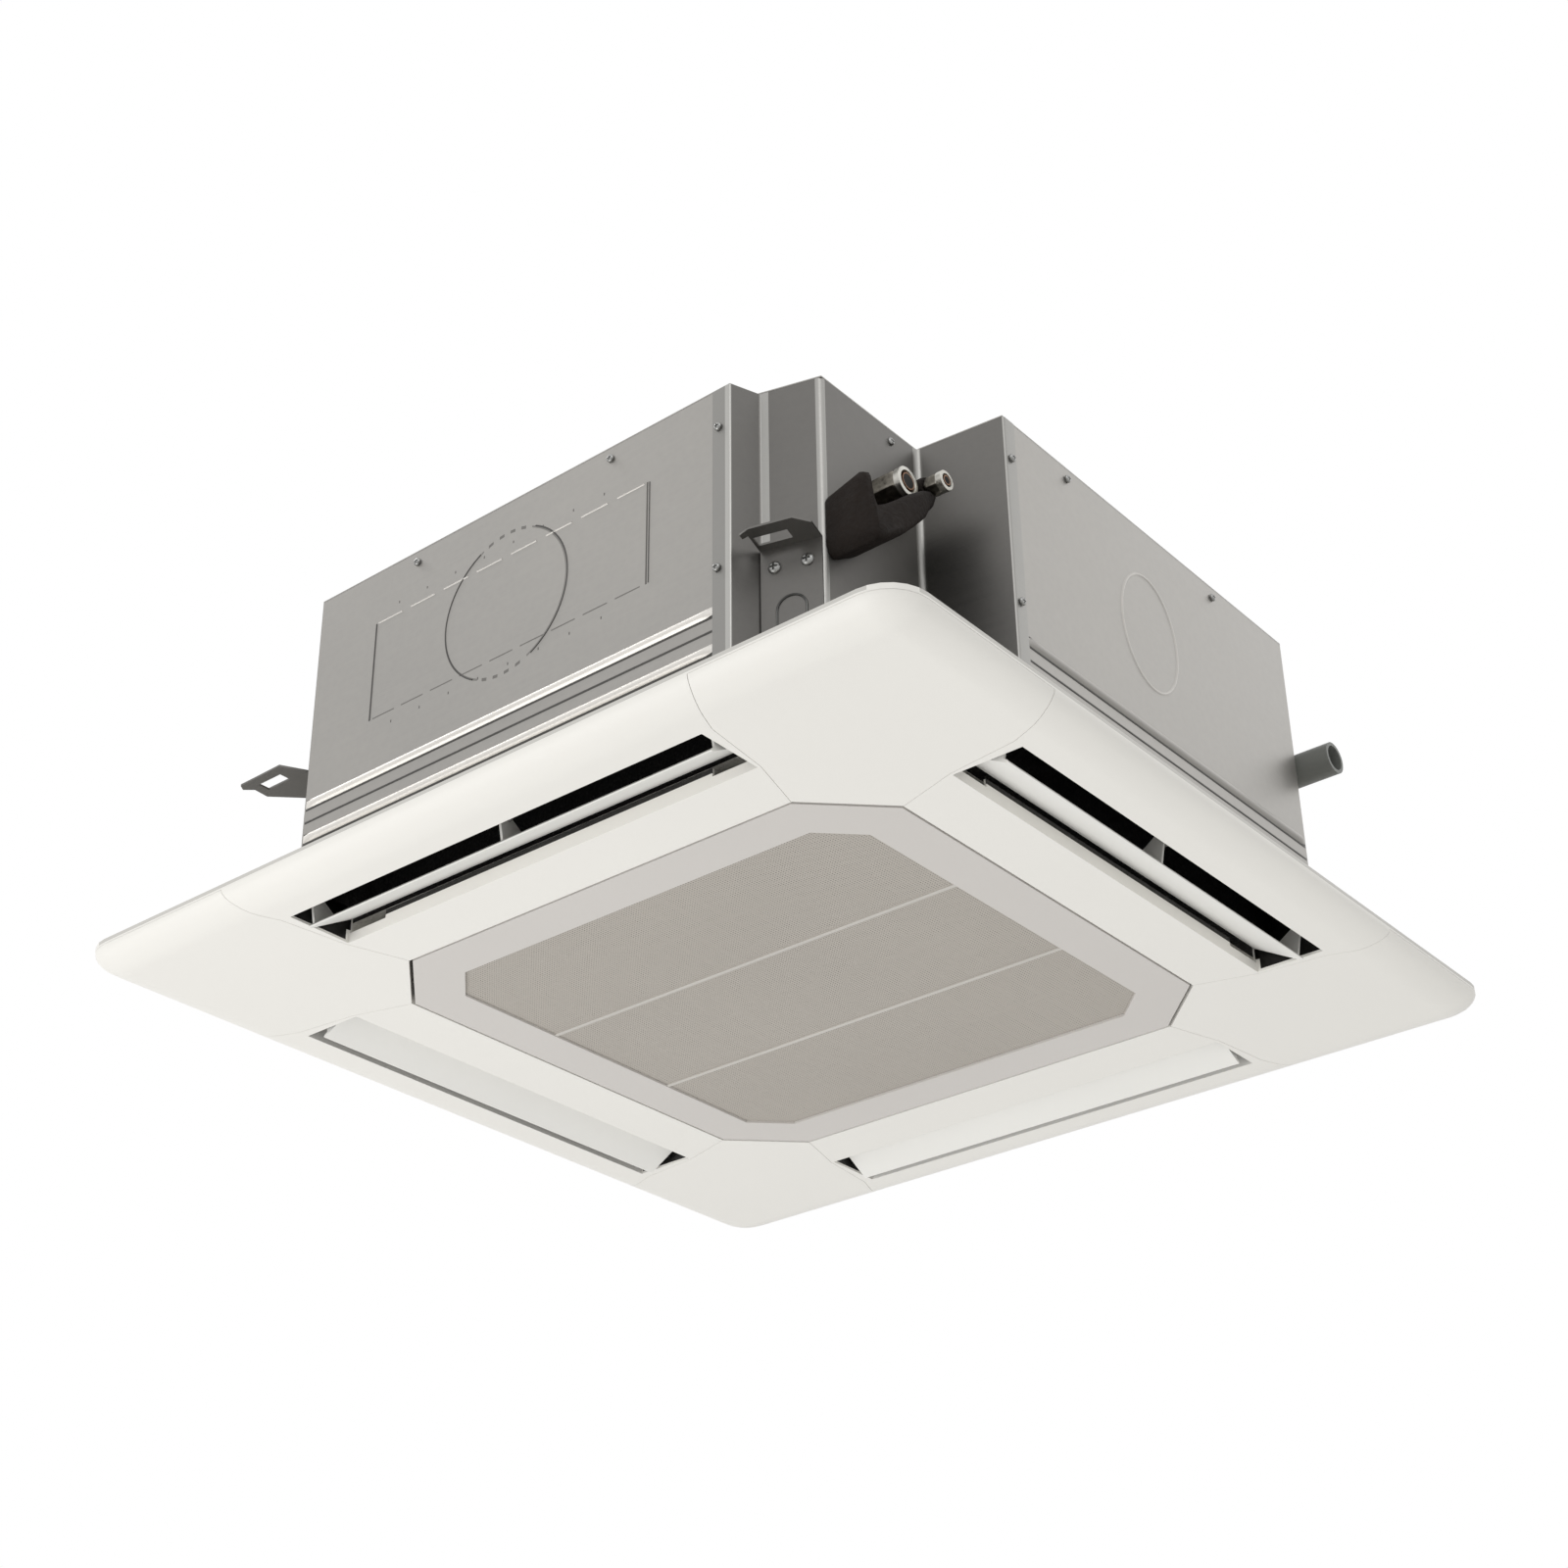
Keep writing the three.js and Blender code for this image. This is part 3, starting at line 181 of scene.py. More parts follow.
class Coating(Finish):
    """The finish of one material slot: a Principled shader whose fields are painted from object places."""

    def __init__(self, name, roughness, metallic=0.0, **fixed):
        self.material = bpy.data.materials.new(name)
        self.material.use_nodes = True
        super().__init__(self.material.node_tree)
        self.shader = self.tree.nodes["Principled BSDF"]
        self.shader.inputs["Roughness"].default_value = roughness
        self.shader.inputs["Metallic"].default_value = metallic
        for key, value in fixed.items():
            self.shader.inputs[key.replace("_", " ")].default_value = value
        self.place = self.node("ShaderNodeTexCoord", {}, output=3)
        split = self.tree.nodes.new("ShaderNodeSeparateXYZ")
        self.tree.links.new(self.place.output, split.inputs[0])
        self.x, self.y, self.z = (Value(self, output) for output in split.outputs)

    def noise(self, scale, detail=2.0, stretch=None):
        where = self.place
        if stretch:
            where = self.node("ShaderNodeMapping", {}, Vector=where, Scale=stretch)
        return self.node("ShaderNodeTexNoise", {}, Vector=where, Scale=scale, Detail=detail)

    def cells(self, scale):
        return self.node("ShaderNodeTexVoronoi", {}, Vector=self.place, Scale=scale)

    def sine(self, value, pitch):
        """A wave of -1 to 1 that repeats every pitch metres of value."""
        return self.node("ShaderNodeMath", {"operation": "SINE"}, value * (2 * np.pi / pitch))

    def mix(self, share, first, second):
        """first where share is 0, second where it is 1; each is a colour or a Value of one."""
        made = self.tree.nodes.new("ShaderNodeMix")
        made.data_type = "RGBA"
        for socket, value in ((made.inputs[0], share), (made.inputs[6], first), (made.inputs[7], second)):
            if isinstance(value, Value):
                self.tree.links.new(value.output, socket)
            else:
                socket.default_value = value
        return Value(self, made.outputs[2])

    def paint(self, **fields):
        for key, value in fields.items():
            self.tree.links.new(value.output, self.shader.inputs[key.replace("_", " ")])
        return self

    def relief(self, height, depth):
        """Raises the surface by height, of 0 to 1, times depth in metres."""
        self.paint(Normal=self.node("ShaderNodeBump", {}, Strength=1.0, Distance=depth, Height=height))
        return self


def floor_sheet(drop=2.7, reach=300.0):
    """A flat square that reaches equally far each way, as a grid of two by two points."""
    corners = np.array(((-1, -1), (1, -1), (1, 1), (-1, 1))) * reach
    points = np.column_stack((corners, np.full(4, CEILING - drop)))
    mesh = bpy.data.meshes.new("room_floor")
    mesh.from_pydata(points.tolist(), [], [(0, 1, 2, 3)])
    floor = bpy.data.objects.new("room_floor", mesh)
    bpy.context.scene.collection.objects.link(floor)
    return floor


room_floor = floor_sheet()
pale = Coating("pale_floor", 0.9)
pale.paint(Base_Color=pale.mix(pale.noise(3.0), linear((238, 238, 237)), linear((244, 244, 243))))
room_floor.data.materials.append(pale.material)


# ---- Casing: folded zinc-coated steel sheets round the coil, screwed along their edges ----
# Two rolled beads stiffen the foot of each side, and pressed knock-outs open for fresh air and branch ducts.
# The zinc is dull and even, with painted shade in its scores and painted highlights along the folds of the
# notch.
HALF = 0.42
FOOT, ROOF = CEILING + 0.014, CEILING + 0.3105
# The third colour is painted shade for the scores and holes of the knock-outs.
ZINC_LIGHT, ZINC_DARK, SCORE_SHADE = (178, 175, 170), (150, 148, 145), (70, 68, 65)


def zinc(name, scores=None, painted_light_share=1.0, painted_highlight=None):
    """Zinc-coated sheet: broad cloudy tone, faint crystals and rolling marks.

    Scores sink it and carry painted shade; a share other than 1 and a fold mask add painted light."""
    coating = Coating(name, 0.4, 0.92)
    cloud = coating.noise(3.2, 3.0)
    crystal = coating.cells(140.0)
    rolled = coating.noise(9.0, 4.0, (1.0, 1.0, 40.0))
    tone = cloud * 0.62 + crystal * 0.1 + rolled * 0.26
    # A share other than 1 lightens or darkens the whole sheet: painted light.
    colour = coating.mix(tone, linear(ZINC_DARK, painted_light_share), linear(ZINC_LIGHT, painted_light_share))
    # Painted highlight along the folds.
    if painted_highlight:
        colour = coating.mix(painted_highlight(coating) * 0.8, colour, linear((205, 204, 200)))
    height = rolled * 0.05 + coating.noise(420.0, 2.0) * 0.05
    if scores:
        # The scores are sunk by the relief and darkened with painted shade.
        mark = scores(coating)
        colour = coating.mix(mark * 0.82, colour, linear(SCORE_SHADE))
        height = height - mark
    coating.paint(Base_Color=colour, Roughness=0.3 + cloud * 0.14 + rolled * 0.1)
    return coating.relief(height, 0.0008)


# Side a's rectangle: middle and half sizes. Its circle: middle and radius. Heights are over the ceiling.
FRESH, FRESH_HALF = (0.0105, 0.2005), (0.1685, 0.0525)
DUCT, DUCT_RADIUS = (0.011, 0.203), 0.074


def fresh_air_scores(coating):
    """Side a: a rectangle scored as long dashes, and a circle inside it with small holes above and below."""
    x, z = coating.x, coating.z - CEILING
    wide, tall = abs(x - FRESH[0]), abs(z - FRESH[1])
    inside = (wide < FRESH_HALF[0]) * (tall < FRESH_HALF[1])
    uprights = wide > FRESH_HALF[0] - 0.0018
    dashes = (tall > FRESH_HALF[1] - 0.0014) * (z < 0.2) * (coating.sine(x, 0.037) > -0.72)
    beside = abs(x - DUCT[0])
    gap = abs(((x - DUCT[0]) ** 2.0 + (z - DUCT[1]) ** 2.0) ** 0.5 - DUCT_RADIUS)
    circle = (gap < 0.001) * (beside > 0.03)
    holes = (gap < 0.0016) * (coating.sine(x, 0.0135) > 0.2) * (beside < 0.03)
    pips = (abs(tall - 0.064) < 0.0014) * (abs(coating.sine(x, 0.073)) > 0.9985) * (wide < 0.15)
    return inside * (uprights | dashes * 0.7) | circle * 0.6 | holes * 0.75 | pips


def shading_group(shallow=32):
    """Joins a solid's loose triangles and shades it smooth over edges flatter than shallow degrees."""
    group = bpy.data.node_groups.new("smooth_shallow_edges", "GeometryNodeTree")
    for way in ("INPUT", "OUTPUT"):
        group.interface.new_socket("Geometry", in_out=way, socket_type="NodeSocketGeometry")
    start, end = group.nodes.new("NodeGroupInput"), group.nodes.new("NodeGroupOutput")
    merge = group.nodes.new("GeometryNodeMergeByDistance")
    merge.inputs["Distance"].default_value = 1e-5
    smooth = group.nodes.new("GeometryNodeSetShadeSmooth")
    sharp = group.nodes.new("GeometryNodeSetShadeSmooth")
    sharp.domain = "EDGE"
    sharp.inputs["Shade Smooth"].default_value = False
    angle = group.nodes.new("GeometryNodeInputMeshEdgeAngle")
    steep = group.nodes.new("FunctionNodeCompare")
    steep.operation = "GREATER_THAN"
    steep.inputs[1].default_value = np.radians(shallow)
    for first, second in ((start.outputs[0], merge.inputs[0]), (merge.outputs[0], smooth.inputs[0]),
                          (smooth.outputs[0], sharp.inputs[0]), (angle.outputs[0], steep.inputs[0]),
                          (steep.outputs[0], sharp.inputs["Selection"]), (sharp.outputs[0], end.inputs[0])):
        group.links.new(first, second)
    return group


shallow_edges = shading_group()


def dress(coating, *names):
    """Gives CAD solids a finish and smooth shading."""
    for name in names:
        solid = nodes[name]
        solid.data.materials.clear()
        solid.data.materials.append(coating.material)
        solid.modifiers.new("smooth", "NODES").node_group = shallow_edges
        weigh = solid.modifiers.new("weigh", "WEIGHTED_NORMAL")
        weigh.keep_sharp = True
        weigh.weight = 100


plain_zinc = zinc("zinc_sheet")
dress(zinc("zinc_side_a", fresh_air_scores), "side_panel_a")
dress(plain_zinc, "side_panel_b", "side_panel_c", "side_panel_d", "top_plate", "far_corner_plate",
      "left_corner_plate", "drain_corner_plate", "piping_corner_plate")


def shell(name, rings, coating, body="unit", closed=False, crease=35):
    """Closed tubes through rings of points: rings[copy, i, j] is point j of ring i of one copy.

    Each ring is joined to the next by quads. The end rings are closed by a flat face, or the last ring
    joins the first where the path is closed. Faces are turned outwards before the piece rides on its body."""
    rings = np.asarray(rings, float)
    if rings.ndim == 3:
        rings = rings[None]
    copies, steps, count = rings.shape[:3]
    step = np.arange(steps if closed else steps - 1)[:, None]
    spot = np.arange(count)[None, :]
    after, beside = (step + 1) % steps, (spot + 1) % count
    quads = np.stack((step * count + spot, step * count + beside, after * count + beside,
                      after * count + spot), -1).reshape(-1, 4)
    shift = np.arange(copies)[:, None, None] * steps * count
    faces = (quads[None] + shift).reshape(-1, 4).tolist()
    if not closed:
        ends = np.stack((np.arange(count)[::-1], (steps - 1) * count + np.arange(count)))
        faces += (ends[None] + shift).reshape(-1, count).tolist()
    mesh = bpy.data.meshes.new(name)
    mesh.from_pydata(rings.reshape(-1, 3).tolist(), [], faces)
    work = bmesh.new()
    work.from_mesh(mesh)
    bmesh.ops.remove_doubles(work, verts=work.verts, dist=1e-6)
    bmesh.ops.recalc_face_normals(work, faces=work.faces)
    work.to_mesh(mesh)
    work.free()
    mesh.polygons.foreach_set("use_smooth", np.ones(len(mesh.polygons), bool))
    mesh.set_sharp_from_angle(angle=np.radians(crease))
    mesh.materials.append(coating.material)
    piece = bpy.data.objects.new(name, mesh)
    bpy.context.scene.collection.objects.link(piece)
    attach(piece, body)
    return piece


def quarter_turns(points, turns):
    """Points drawn for side a, turned by quarter circles round the middle to sides b, c and d."""
    c, s = np.cos(np.pi / 2 * turns), np.sin(np.pi / 2 * turns)
    return np.stack((points[..., 0] * c - points[..., 1] * s, points[..., 0] * s + points[..., 1] * c,
                     points[..., 2]), -1)


def ridge_section(points, width, rise, power=1.0, sunk=0.0004):
    """Places across a ridge and out of its sheet: a cosine to a power over the width, then a sunk foot."""
    share = np.linspace(-1, 1, points)
    across = np.concatenate((share, [1, -1])) * width / 2
    return across, np.concatenate((np.cos(share * np.pi / 2) ** power * rise, [-sunk, -sunk]))


def bead(turn, first, last, height, width=0.0088, rise=0.0026, fading=0.006):
    """A rolled ridge along a side: its section carried from first to last, faded by a root at both ends."""
    along = np.linspace(first, last, 60)
    fade = np.clip(np.minimum(along - first, last - along) / fading, 0, 1) ** 0.5
    up, out = ridge_section(9, width, rise, 0.8)
    grid = np.zeros((len(along), len(up), 3))
    grid[..., 0] = along[:, None]
    grid[..., 1] = -(HALF + out * np.where(out > 0, fade[:, None], 1))
    grid[..., 2] = CEILING + height + up
    return quarter_turns(grid, turn)


# Where the beads of sides a to d begin and end; heights over the ceiling of beads and painted-shade strips.
SPANS = ((-0.2345, 0.252), (-0.2205, 0.2345), (-0.2345, 0.2345), (-0.2345, 0.2345))
BEAD_HEIGHTS, CREASE_SHADE_HEIGHTS = (0.0895, 0.054), (0.0838, 0.0705, 0.0483)
beads = [[bead(turn, *SPANS[turn], height) for height in BEAD_HEIGHTS] for turn in range(4)]
# Side a's beads take a lighter copy of the zinc: a painted highlight.
shell("side_beads_a", np.stack(beads[0]), zinc("zinc_rolled_painted_highlight", painted_light_share=1.38))
shell("side_beads", np.concatenate(beads[1:]), plain_zinc)
# A darker copy of the zinc as painted shade: strips by the beads, burrs along scores, round duct rings.
painted_shade_zinc = zinc("zinc_crease_painted_shade", painted_light_share=0.52)
crease_shade_strips = [bead(turn, *SPANS[turn], height, 0.0026, 0.0006) for turn in range(4) for height in CREASE_SHADE_HEIGHTS]
shell("side_crease_shade_strips", np.stack(crease_shade_strips), painted_shade_zinc)


def score_lips(paths, width=0.0016, rise=0.0006):
    """Thin burrs along the scores of side a: a low ridge section set square to paths of (x, height)."""
    paths = np.array(paths)
    run = np.gradient(paths, axis=1)
    run = run / np.linalg.norm(run, axis=2, keepdims=True)
    beside = np.stack((-run[..., 1], run[..., 0]), -1)
    step, out = ridge_section(5, width, rise)
    flat = paths[:, :, None] + beside[:, :, None] * step[None, None, :, None]
    face = np.broadcast_to(-(HALF + out), flat.shape[:-1])
    return np.stack((flat[..., 0], face, CEILING + flat[..., 1]), -1)


def straight(first, last, steps=16):
    """A straight path as first * (1 - t) + last * t."""
    share = np.linspace(0, 1, steps)[:, None]
    return np.array(first) * (1 - share) + np.array(last) * share


# The circle's burrs from angle to angle in radians, then the rectangle's uprights and upper dashes.
ARC_SPANS = ((-1.1, 0), (0, 1.1), (2.05, 3.1), (3.1, 4.2))
arcs = [np.array((DUCT[0] + 0.0006, DUCT[1]))
        + (DUCT_RADIUS + 0.0007) * np.column_stack((np.cos(angle), np.sin(angle)))
        for angle in (np.linspace(first, last, 16) for first, last in ARC_SPANS)]
LIP_FOOT, LIP_TOP, DASH, DASH_PITCH = 0.149, 0.2526, 0.031, 0.0425
uprights = [straight((x, LIP_FOOT), (x, LIP_TOP - 0.0006)) for x in (-0.1566, 0.1806)]
dashes = [straight((x, LIP_TOP), (x + DASH, LIP_TOP)) for x in np.arange(-0.154, 0.15, DASH_PITCH)]
# The dashes' burrs take a lighter copy of the zinc: a painted highlight.
shell("fresh_air_lips", score_lips(dashes), zinc("zinc_lips_painted_highlight", painted_light_share=1.2))
# The circle's and uprights' burrs take the darker copy of the zinc: painted shade.
shell("fresh_air_scores", score_lips(arcs + uprights), painted_shade_zinc)


def pressed_ring(turn, across, height, wide, tall, width=0.0036, rise=0.0009):
    """A ridge pressed along an oval on a side: its half axes are wide and tall, plus the section's steps."""
    angle = np.linspace(0, 2 * np.pi, 96, endpoint=False)[:, None]
    step, out = ridge_section(7, width, rise)
    grid = np.stack((across + (wide + step) * np.cos(angle), -(HALF + out) + 0 * angle,
                     CEILING + height + (tall + step) * np.sin(angle)), -1)
    return quarter_turns(grid, turn)


oval_ring = pressed_ring(1, -0.018, 0.197, 0.045, 0.06)
# The oval ring takes a lighter copy of the zinc: a painted highlight.
shell("branch_duct_ring", oval_ring, zinc("zinc_pressed_painted_highlight", painted_light_share=1.12), closed=True)
ROUND = 0.075
round_rings = [pressed_ring(turn, across, 0.2, ROUND, ROUND, 0.002, 0.0006)
               for turn, across in ((2, -0.02), (3, 0.02))]
# The round rings take the darker copy of the zinc: painted shade.
shell("round_duct_rings", np.stack(round_rings), painted_shade_zinc, closed=True)


def roof_ridge(reach, power, width=0.012, rise=0.0012):
    """A ridge rolled into the roof along |x|^power + |y|^power = reach^power."""
    angle = np.linspace(0, 2 * np.pi, 192, endpoint=False)[:, None]
    step, out = ridge_section(7, width, rise)
    radius = reach / (abs(np.cos(angle)) ** power + abs(np.sin(angle)) ** power) ** (1 / power) + step
    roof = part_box("top_plate")[1][2]
    return np.stack((radius * np.cos(angle), radius * np.sin(angle), roof + out + 0 * angle), -1)


shell("roof_ridges", np.stack((roof_ridge(0.31, 8), roof_ridge(0.13, 2))), plain_zinc,
      closed=True)


def rounded_path(corners, radii, steps=8):
    """Straight runs between corners, each corner cut by an arc of its radius."""
    corners = np.array(corners, float)
    path = [corners[0]]
    for before, corner, after, radius in zip(corners, corners[1:], corners[2:], radii):
        back = (before - corner) / np.linalg.norm(before - corner)
        on = (after - corner) / np.linalg.norm(after - corner)
        half_angle = np.arccos(np.clip(back @ on, -1, 1)) / 2
        centre = corner + (back + on) / np.linalg.norm(back + on) * radius / np.sin(half_angle)
        first = corner + back * radius / np.tan(half_angle) - centre
        last = corner + on * radius / np.tan(half_angle) - centre
        share = np.linspace(0, 1, steps)[:, None]
        arc = first * (1 - share) + last * share
        path.extend(centre + arc / np.linalg.norm(arc, axis=1)[:, None] * radius)
    path.append(corners[-1])
    return np.array(path)


def folded_sheet(path, low, high, thickness):
    """A strip of sheet set on edge along a path: four points round its section at every path point."""
    run = np.gradient(path, axis=0)
    run = run / np.linalg.norm(run, axis=1)[:, None]
    inward = np.column_stack((-run[:, 1], run[:, 0])) * thickness
    grid = np.zeros((len(path), 4, 3))
    grid[:, (0, 1), :2] = path[:, None]
    grid[:, (2, 3), :2] = (path + inward)[:, None]
    grid[:, (0, 3), 2] = low
    grid[:, (1, 2), 2] = high
    return grid


NOTCH = [(0.252, -0.4213), (0.27093, -0.4213), (0.28053, -0.39356), (0.335, -0.378), (0.335, -0.245),
         (0.4213, -0.23586), (0.4213, -0.2205)]
notch_path = rounded_path(NOTCH, (0.0025, 0.003, 0.006, 0.006, 0.0025))
FLANGE = 0.4196


def notch_fold_highlights(coating):
    """Painted highlights along the upright folds of the notch and on its flanges on sides a and b."""
    x, y = coating.x, coating.y
    beside_bracket = (abs(x - 0.2847) < 0.0036) * (y < -0.386) * 0.65
    outer_corner = (abs(x - 0.3325) < 0.0032) * (y < -0.3735) * 0.6
    inner_corner = (abs(y + 0.2475) < 0.0032) * (x < 0.3385) * 0.55
    flange_a = (y < -FLANGE) * 0.34 | (abs(x - 0.2685) < 0.0027) * (y < -FLANGE) * 0.8
    flange_b = (x > FLANGE) * 0.5
    return beside_bracket | outer_corner | inner_corner | flange_a | flange_b


notch_grid = folded_sheet(notch_path, FOOT, ROOF, 0.0012)
# The notch sheet is a darker copy of the zinc as painted shade, with painted highlights along its folds.
notch_zinc = zinc("zinc_notch_painted_light", painted_light_share=0.7, painted_highlight=notch_fold_highlights)
notch_sheet = shell("notch_sheet", notch_grid, notch_zinc)
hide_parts("piping_corner_plate")


def screw_heads(name, places, outward, radius):
    """Pan heads with a cross: a dome over a polar grid, sunk where either arm of the cross lies."""
    places, outward = np.array(places, float), np.array(outward, float)
    outward = np.broadcast_to(outward, places.shape)
    angle = np.linspace(0, 2 * np.pi, 32, endpoint=False)[None, :]
    reach = np.array((1.0, 1.04, 0.98, 0.82, 0.62, 0.5, 0.38, 0.24, 0.1))[:, None]
    dome = np.array((-0.1, 0.16, 0.34, 0.5, 0.6, 0.63, 0.65, 0.66, 0.66))[:, None]
    across, along = reach * np.cos(angle), reach * np.sin(angle)
    cross = (np.minimum(abs(across), abs(along)) < 0.13) & (reach < 0.6)
    rise = np.where(cross, dome - 0.4, dome)
    side = np.cross(outward, np.where(abs(outward[:, 2:3]) > 0.9, (1.0, 0, 0), (0, 0, 1.0)))
    side = side / np.linalg.norm(side, axis=1)[:, None]
    up = np.cross(outward, side)
    grid = (places[:, None, None] + radius * (across[None, ..., None] * side[:, None, None]
            + along[None, ..., None] * up[:, None, None] + rise[None, ..., None] * outward[:, None, None]))
    return shell(name, grid, plated, crease=50)


def bright_steel(name, tone=(176, 176, 174)):
    """Bright plated steel, rubbed lighter in places."""
    coating = Coating(name, 0.3, 1.0)
    wear = coating.noise(260.0, 3.0)
    coating.paint(Base_Color=coating.mix(wear, linear(tone, 0.8), linear(tone)), Roughness=0.22 + wear * 0.2)
    return coating.relief(wear, 0.0001)


plated = bright_steel("plated_steel")
SMALL = 0.0036
side_a = [(0.259, -0.4226, 0.27), (0.135, -0.4212, 0.2985), (-0.106, -0.4212, 0.2985),
          (0.2575, -0.4226, 0.128)]
side_b = [(-0.2285, -0.4226, 0.269), (-0.2285, -0.4226, 0.122), (-0.139, -0.4212, 0.2985),
          (0.105, -0.4212, 0.2985)]
side_c = [(-0.12, -0.4202, 0.2985), (0.12, -0.4202, 0.2985), (-0.225, -0.4202, 0.13), (0.225, -0.4202, 0.13)]
for turn, places in enumerate((side_a, side_b, side_c, side_c)):
    spots = quarter_turns(np.array(places), turn)
    spots[:, 2] += CEILING
    screw_heads(f"side_screws_{'abcd'[turn]}", spots, quarter_turns(np.array((0, -1.0, 0)), turn), SMALL)
screw_heads("notch_screws", [(0.3353, -0.283, CEILING + 0.298)], (1, 0, 0), SMALL)


# ---- Insulation and drain pan: expanded foam blocks behind the sheets, painted black where air leaves ----
# The foam is moulded beads fused together; the duct faces are painted black as shade, so the outlets look
# dark.
DUCT_SHADE_FROM, DUCT_SHADE_TO = 0.33, 0.4068


def foam(name):
    """Fused beads 3 mm across; the faces towards the air ducts are painted black as shade."""
    coating = Coating(name, 0.85)
    fused = coating.cells(330.0)
    reach = abs(coating.x) | abs(coating.y)
    # Painted shade: the faces towards the air ducts are black.
    shaded_ducts = (reach > DUCT_SHADE_FROM) * (reach < DUCT_SHADE_TO)
    white = coating.mix(fused, linear((232, 230, 224)), linear((218, 216, 210)))
    black = coating.mix(coating.noise(300.0), linear((9, 9, 8)), linear((18, 17, 16)))
    coating.paint(Base_Color=coating.mix(shaded_ducts, white, black), Roughness=0.75 + fused * 0.2)
    return coating.relief(fused, 0.0006)


dress(foam("fused_foam"), "casing_insulation", "drain_pan", "float")


# ---- Coil: hairpin copper tubes through aluminium fins, wrapped round the fan ----
# The fins stand 1.5 mm apart and are seen on edge; steel plates close the coil at the piping corner.
def fins(name):
    """Fins on edge: fine upright lines both ways across the coil, and a faint line at each row of tubes."""
    coating = Coating(name, 0.42, 0.85)
    lines = coating.sine(coating.x, 0.0015) * 0.25 + coating.sine(coating.y, 0.0015) * 0.25 + 0.5
    rows = coating.sine(coating.z, 0.0212) > 0.93
    colour = coating.mix(lines, linear((96, 99, 101)), linear((188, 191, 192)))
    coating.paint(Base_Color=coating.mix(rows * 0.35, colour, linear((120, 110, 100))))
    return coating.relief(lines, 0.0005)


dress(fins("coil_fins"), "heat_exchanger")
dress(plain_zinc, "coil_end_plate_a", "coil_end_plate_b")


# ---- Drain: a small pump lifts the condensate out of the pan and through the grey socket ----
# Pump, wheel, float switch and socket are moulded plastic; the hose is black rubber.
def moulded(name, tone, grain=0.00012, gloss=0.45, spread=0.06):
    """Moulded plastic: a fine spark-eroded grain and a very slight drift of tone."""
    coating = Coating(name, gloss)
    drift = coating.noise(5.0, 3.0)
    fine = coating.noise(900.0, 2.0)
    light = linear(np.minimum(np.array(tone) * (1 + spread / 3), 250))
    coating.paint(Base_Color=coating.mix(drift, linear(tone, 1 - spread), light),
                  Roughness=gloss - 0.05 + fine * 0.14)
    return coating.relief(fine, grain)


grey_plastic = moulded("grey_moulding", (116, 118, 114))
dark_plastic = moulded("dark_moulding", (44, 47, 48))
rubber = moulded("black_rubber", (26, 25, 24), 0.0003, 0.7)
dress(dark_plastic, "drain_pump")
dress(grey_plastic, "pump_impeller", "float_switch", "drain_socket")
dress(rubber, "drain_hose")


# ---- Motor and fan: an aluminium motor on three rubber feet drives a backward-curved plastic fan ----
# The hub and its blades are one moulding; the shroud ring is welded on below, round the eye.
def cast_metal(name, tone, roughness=0.45):
    """Cast or drawn metal with a soft mottled sheen."""
    coating = Coating(name, roughness, 0.95)
    mottle = coating.noise(60.0, 4.0)
    coating.paint(Base_Color=coating.mix(mottle, linear(tone, 0.82), linear(tone)),
                  Roughness=roughness - 0.06 + mottle * 0.16)
    return coating.relief(mottle, 0.0002)


dress(cast_metal("motor_casting", (186, 189, 190)), "fan_motor")
dress(rubber, "motor_mount_1", "motor_mount_2", "motor_mount_3")
dress(plated, "motor_shaft", "fan_nut")
dress(moulded("fan_moulding", (52, 54, 55), 0.0001, 0.4), "fan_impeller", "fan_shroud")


# ---- Bell mouth: a black moulded inlet ring that leads the air from the filter into the fan ----
# It is screwed under the casing all round.
dress(moulded("bell_moulding", (30, 29, 28), 0.0002, 0.5), "bell_mouth")
SCREW_CIRCLE = 0.262
spread = np.radians((38, 90, 142, 218, 270, 322))
plate_screws = np.column_stack((SCREW_CIRCLE * np.cos(spread), SCREW_CIRCLE * np.sin(spread),
                                np.full(len(spread), CEILING + 0.0105)))
screw_heads("bell_mouth_screws", plate_screws, (0, 0, -1), 0.004)


# ---- Control box: a zinc-coated tray with a screwed lid under the side opposite the pipes ----
# The board, its parts and the terminal block hang from the tray's roof, behind the lid.
dress(plain_zinc, "control_box", "control_box_lid")
dress(moulded("board_green", (52, 110, 72)), "control_board")
dress(dark_plastic, "terminal_block")
lid_screws = [(x, y, CEILING + 0.0022) for y in (-0.142, 0.142) for x in (-0.324, -0.241)]
screw_heads("lid_screws", lid_screws, (0, 0, -1), 0.0032)


# ---- Refrigerant pipes: copper tubes that leave through the notch wall and end in flare nuts ----
# The gas pipe is the thick one. A black foam-rubber block seals and hides where they pass the steel.
GAS_END, LIQUID_END = (0.377, -0.318, CEILING + 0.216), (0.393, -0.285, CEILING + 0.228)
WALL = 0.3356


def pipe_mouth_shade(coating, end, radius):
    """Painted shade for the open mouth of a pipe: a dark disc of its bore on its end face."""
    off = ((coating.y - end[1]) ** 2.0 + (coating.z - end[2]) ** 2.0) ** 0.5
    return (off < radius) * (coating.x > end[0] - 0.0006)


